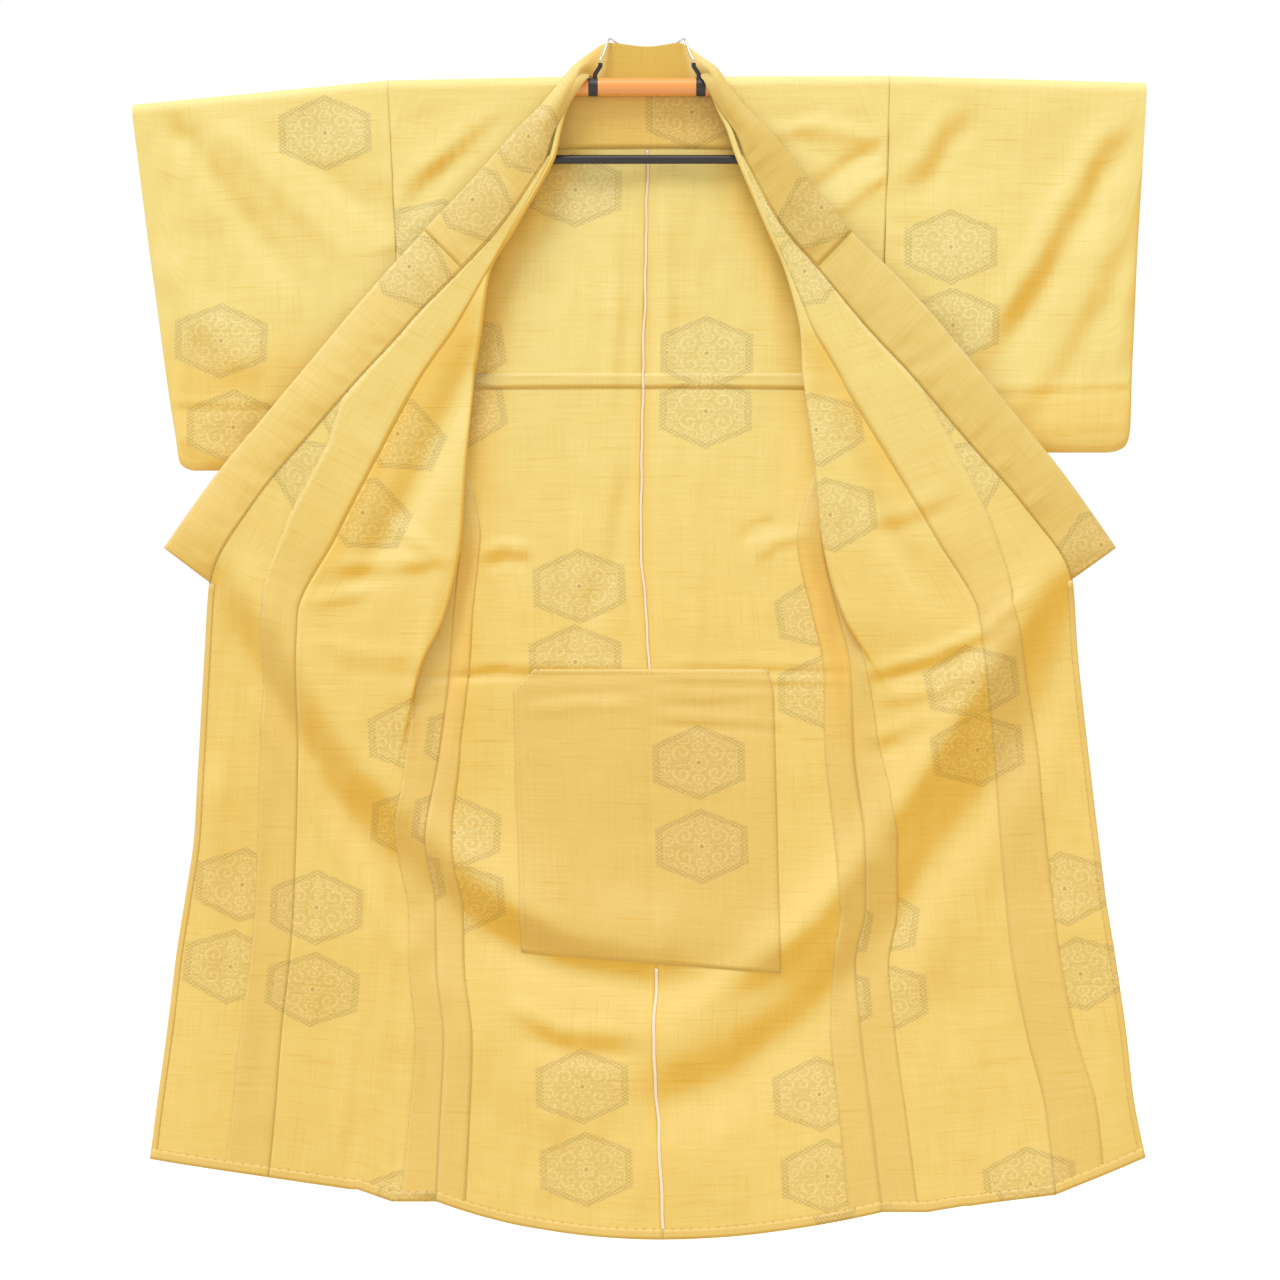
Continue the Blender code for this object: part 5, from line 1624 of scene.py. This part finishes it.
# %% Bar, rings, wires, eye and sash bar
inner, outer = BAND_X - BAND_WIDTH / 2, BAND_X + BAND_WIDTH / 2
rod("tube_middle", [(-inner + GAP, 0, 0), (inner - GAP, 0, 0)], BAR_RADIUS, orange_tube, 12)
sash_ends = [(-OBI_BAR_HALF, 0, OBI_BAR_Z), (OBI_BAR_HALF, 0, OBI_BAR_Z)]
rod("sash_bar", sash_ends, OBI_BAR_RADIUS, black_plastic, 8)
for side, sign in SIDES.items():
    bends = sorted(abs(bend.x) for bend in BAR_LINE if 0 < bend.x * sign < ARM_END[side])
    stops = [outer + GAP] + bends + [ARM_END[side]]
    arm = [(sign * out, 0, bar_z(sign * out)) for out in stops]
    stem, wire = ([(sign * x, y, z) for x, y, z in line] for line in (STEM, WIRE_LINE))
    sash_x = sign * OBI_ARM_X
    sash_z = (bar_z(sash_x) - BAR_RADIUS - GAP, OBI_BAR_Z + OBI_BAR_RADIUS + GAP)
    sash_arm = [(sash_x, 0, z) for z in sash_z]
    rod(f"tube_{side}", arm, BAR_RADIUS, orange_tube, 12)
    rod(f"ring_{side}", [(sign * inner, 0, 0), (sign * outer, 0, 0)], BAND_RADIUS, black_plastic, 12)
    rod(f"stem_{side}", stem, STEM_RADIUS, black_plastic)
    rod(f"wire_{side}", wire, WIRE_RADIUS, steel_wire, 4, smooth_path=True)
    rod(f"sash_arm_{side}", sash_arm, OBI_ARM_RADIUS, black_plastic)
bpy.ops.mesh.primitive_torus_add(major_radius=EYE_MAJOR * MM, minor_radius=EYE_MINOR * MM,
                                 major_segments=48, minor_segments=14)
eye = bpy.context.active_object
eye.name = eye.data.name = "eye"
turn = Matrix.Translation(to_frame((0, EYE_Y, EYE_Z)).tolist()) @ Matrix.Rotation(math.pi / 2, 4, "X")
eye.data.transform(turn)
eye.data.materials.append(steel_wire)
eye.data.shade_smooth()
made["eye"] = eye
print("hanger pieces ready")

# %% [markdown]
# ## Telling the frame what stands for what
#
# Every piece rides on the one body. A piece that takes the place of a solid says so, and each sheet
# gives the flat size that it was cut to, in metres, and how it is held.

# %% Pieces, slots and cuts
for piece in made.values():
    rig.ride(piece, "root")

CLOTH_NODES = {"collar_cloth": "collar", "over_collar_cloth": "over_collar", "seat_patch": "seat_lining",
               "shoulder_lining_cloth": "shoulder_lining", "tape_upper": "centre_tape_upper",
               "tape_lower": "centre_tape_lower"}
HANGER_NODES = {"tube_middle": "hanger_bar", "sash_bar": "obi_bar", "eye": "hanger_eye"}
for side in SIDES:
    for node in ("front_{}", "okumi_{}", "back_{}", "sleeve_{}_front", "sleeve_{}_back"):
        CLOTH_NODES[node.format(side) + "_cloth"] = node.format(side)
    CLOTH_NODES[f"tuck_{side}"] = f"back_tuck_{side}"
    HANGER_NODES[f"tube_{side}"] = f"hanger_arm_{side}"
    HANGER_NODES[f"sash_arm_{side}"] = f"obi_arm_{side}"
    for word in ("ring", "stem", "wire"):
        HANGER_NODES[f"{word}_{side}"] = f"hanger_{word}_{side}"
for name, node in {**CLOTH_NODES, **HANGER_NODES}.items():
    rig.replaces(made[name], node)
for name, piece in made.items():
    if name in HANGER_NODES:
        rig.slot(piece, piece.data.materials[0].name.split(".")[0])
    else:
        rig.slot(piece, "white_tape" if name.startswith("tape") else "gold_tsumugi")
print("replaced nodes:", len(CLOTH_NODES) + len(HANGER_NODES))

# %% Flat sizes of the cloth that shows
LENGTH = 1.555
FLAT = {"collar_cloth": (0.075, 1.90), "over_collar_cloth": (0.110, 0.83), "seat_patch": (0.350, 0.400),
        "shoulder_lining_cloth": (0.350, 0.080)}
for side in SIDES:
    FLAT.update({f"front_{side}_cloth": (0.240, LENGTH), f"okumi_{side}_cloth": (0.150, 1.45),
                 f"back_{side}_cloth": (0.300, LENGTH), f"sleeve_{side}_front_cloth": (0.340, 0.510),
                 f"sleeve_{side}_back_cloth": (0.340, 0.510)})
# the collar is 55 mm wide round the neck and widens to 75 mm on the rest of its length, and an
# overlap panel is 140 mm wide below the collar and narrows to a tip along it
CUT_AREA = {"collar_cloth": 0.81 * 0.055 + 1.09 * (0.055 + 0.075) / 2}
CUT_AREA.update({f"okumi_{side}_cloth": 0.90 * 0.140 + 0.55 * 0.140 / 2 for side in SIDES})

def area_of(P):
    a, b = P[:-1, 1:] - P[:-1, :-1], P[1:, :-1] - P[:-1, :-1]
    return float(np.linalg.norm(np.cross(a, b), axis=2).sum()) * MM * MM

for name, flat in FLAT.items():
    wide, tall = (run_along(grids[name], axis).max(axis=axis).mean() * MM for axis in (1, 0))
    print(f"{name:26} area {area_of(grids[name]):.4f}  mean {wide:.3f} x {tall:.3f}  cut", *flat)

# %% Declaring the sheets
def pieces_on(name):
    """The strips, stitches and tapes that lie on a sheet."""
    if not name.endswith("_cloth") or name.startswith(("collar", "over", "sleeve", "shoulder")):
        own = {"seat_patch": ["patch_stitches"], "shoulder_lining_cloth": ["lining_stitches"]}
        return own.get(name, [])
    body, side = name.split("_")[:2]
    words = {"front": ("allowance_front", "hem_front"),
             "okumi": ("allowance_okumi", "hem_okumi", "hem_edge"),
             "back": ("allowance_back", "hem_back", "tuck", "tuck_stitches")}[body]
    found = [f"{word}_{side}" for word in words]
    if body == "okumi":
        found += [f"hem_stitches_{side}", f"allowance_stitches_{side}"]
    return found + (["tape_upper", "tape_lower"] if name == "back_left_cloth" else [])

for name, flat in FLAT.items():
    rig.sheet(made[name], flat=flat, held="hung", rests_on=("tube_left", "tube_right"),
             area=CUT_AREA.get(name), with_pieces=pieces_on(name))

# %% [markdown]
# ## Camera, light and floor
#
# The camera stands where the picture was taken, straight in front and 6 m away, so that the robe
# keeps its straight lines. One broad lamp stands far away and high, so its light rakes down the
# hanging cloth and even a shallow fold shows. The pale, slightly warm world fills the shadows.

# %% Stage
FLOOR_Z = -1.95
FLOOR_SIZE = 30
bpy.ops.mesh.primitive_plane_add(size=FLOOR_SIZE, location=(0, 0, FLOOR_Z))
floor = bpy.context.active_object
floor.name = "floor"
floor.data.materials.append(plain("pale_floor", (0.97, 0.97, 0.97, 1), 0.9, 0.01, 4.0))
floor.visible_diffuse = False
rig.stage(floor)

# %% World
WORLD_FILL = (0.83, 0.77, 0.66, 1)     # what the shadows get; the camera itself sees white
world = bpy.data.worlds.new("studio")
bpy.context.scene.world = world
world.use_nodes = True
tree = world.node_tree
background = tree.nodes["Background"]
ray, fill = tree.nodes.new("ShaderNodeLightPath"), tree.nodes.new("ShaderNodeMix")
fill.data_type = "RGBA"
fill.inputs["A"].default_value = WORLD_FILL
fill.inputs["B"].default_value = (1, 1, 1, 1)
tree.links.new(ray.outputs["Is Camera Ray"], fill.inputs["Factor"])
tree.links.new(fill.outputs["Result"], background.inputs["Color"])
background.inputs["Strength"].default_value = 1.0

# %% Lamp
SUN_POWER = 1.75
SUN_SPREAD = 24        # degrees that the lamp fills as seen from the robe
SUN_WAY = (0.22, 0.42, -0.88)
sun = bpy.data.lights.new("key_light", "SUN")
sun.energy = SUN_POWER
sun.angle = math.radians(SUN_SPREAD)
holder = add_object("key_light", sun)
holder.rotation_euler = Vector(SUN_WAY).to_track_quat("-Z", "Y").to_euler()
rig.stage(holder)

# %% Camera
DISTANCE = 6.0
SENSOR = 36
BAR_FRONT_Y = -(EYE_Y + BAR_RADIUS) * MM     # the distance counts from the front of the bar
camera_data = bpy.data.cameras.new("camera")
camera_data.sensor_width = SENSOR
camera_data.lens = SENSOR * DISTANCE / (PICTURE_SIZE * PICTURE * MM)
camera = add_object("camera", camera_data)
picture_x, picture_z = from_picture(PICTURE_SIZE / 2, PICTURE_SIZE / 2)
middle = to_frame((picture_x, 0, picture_z))
camera.location = (middle[0], BAR_FRONT_Y - DISTANCE, middle[2])
camera.rotation_euler = (math.pi / 2, 0, 0)
bpy.context.scene.camera = camera
bpy.context.scene.view_settings.view_transform = "Standard"

# %% Size, and the end
low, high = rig.bounds()
with open("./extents.json", "w") as out:
    for word, corner in (("cad_low", cad_low), ("cad_high", cad_high), ("low", low), ("high", high)):
        print(word, [round(v, 4) for v in corner], file=out)
print("triangles:", sum(len(p.vertices) - 2 for piece in made.values() for p in piece.data.polygons))
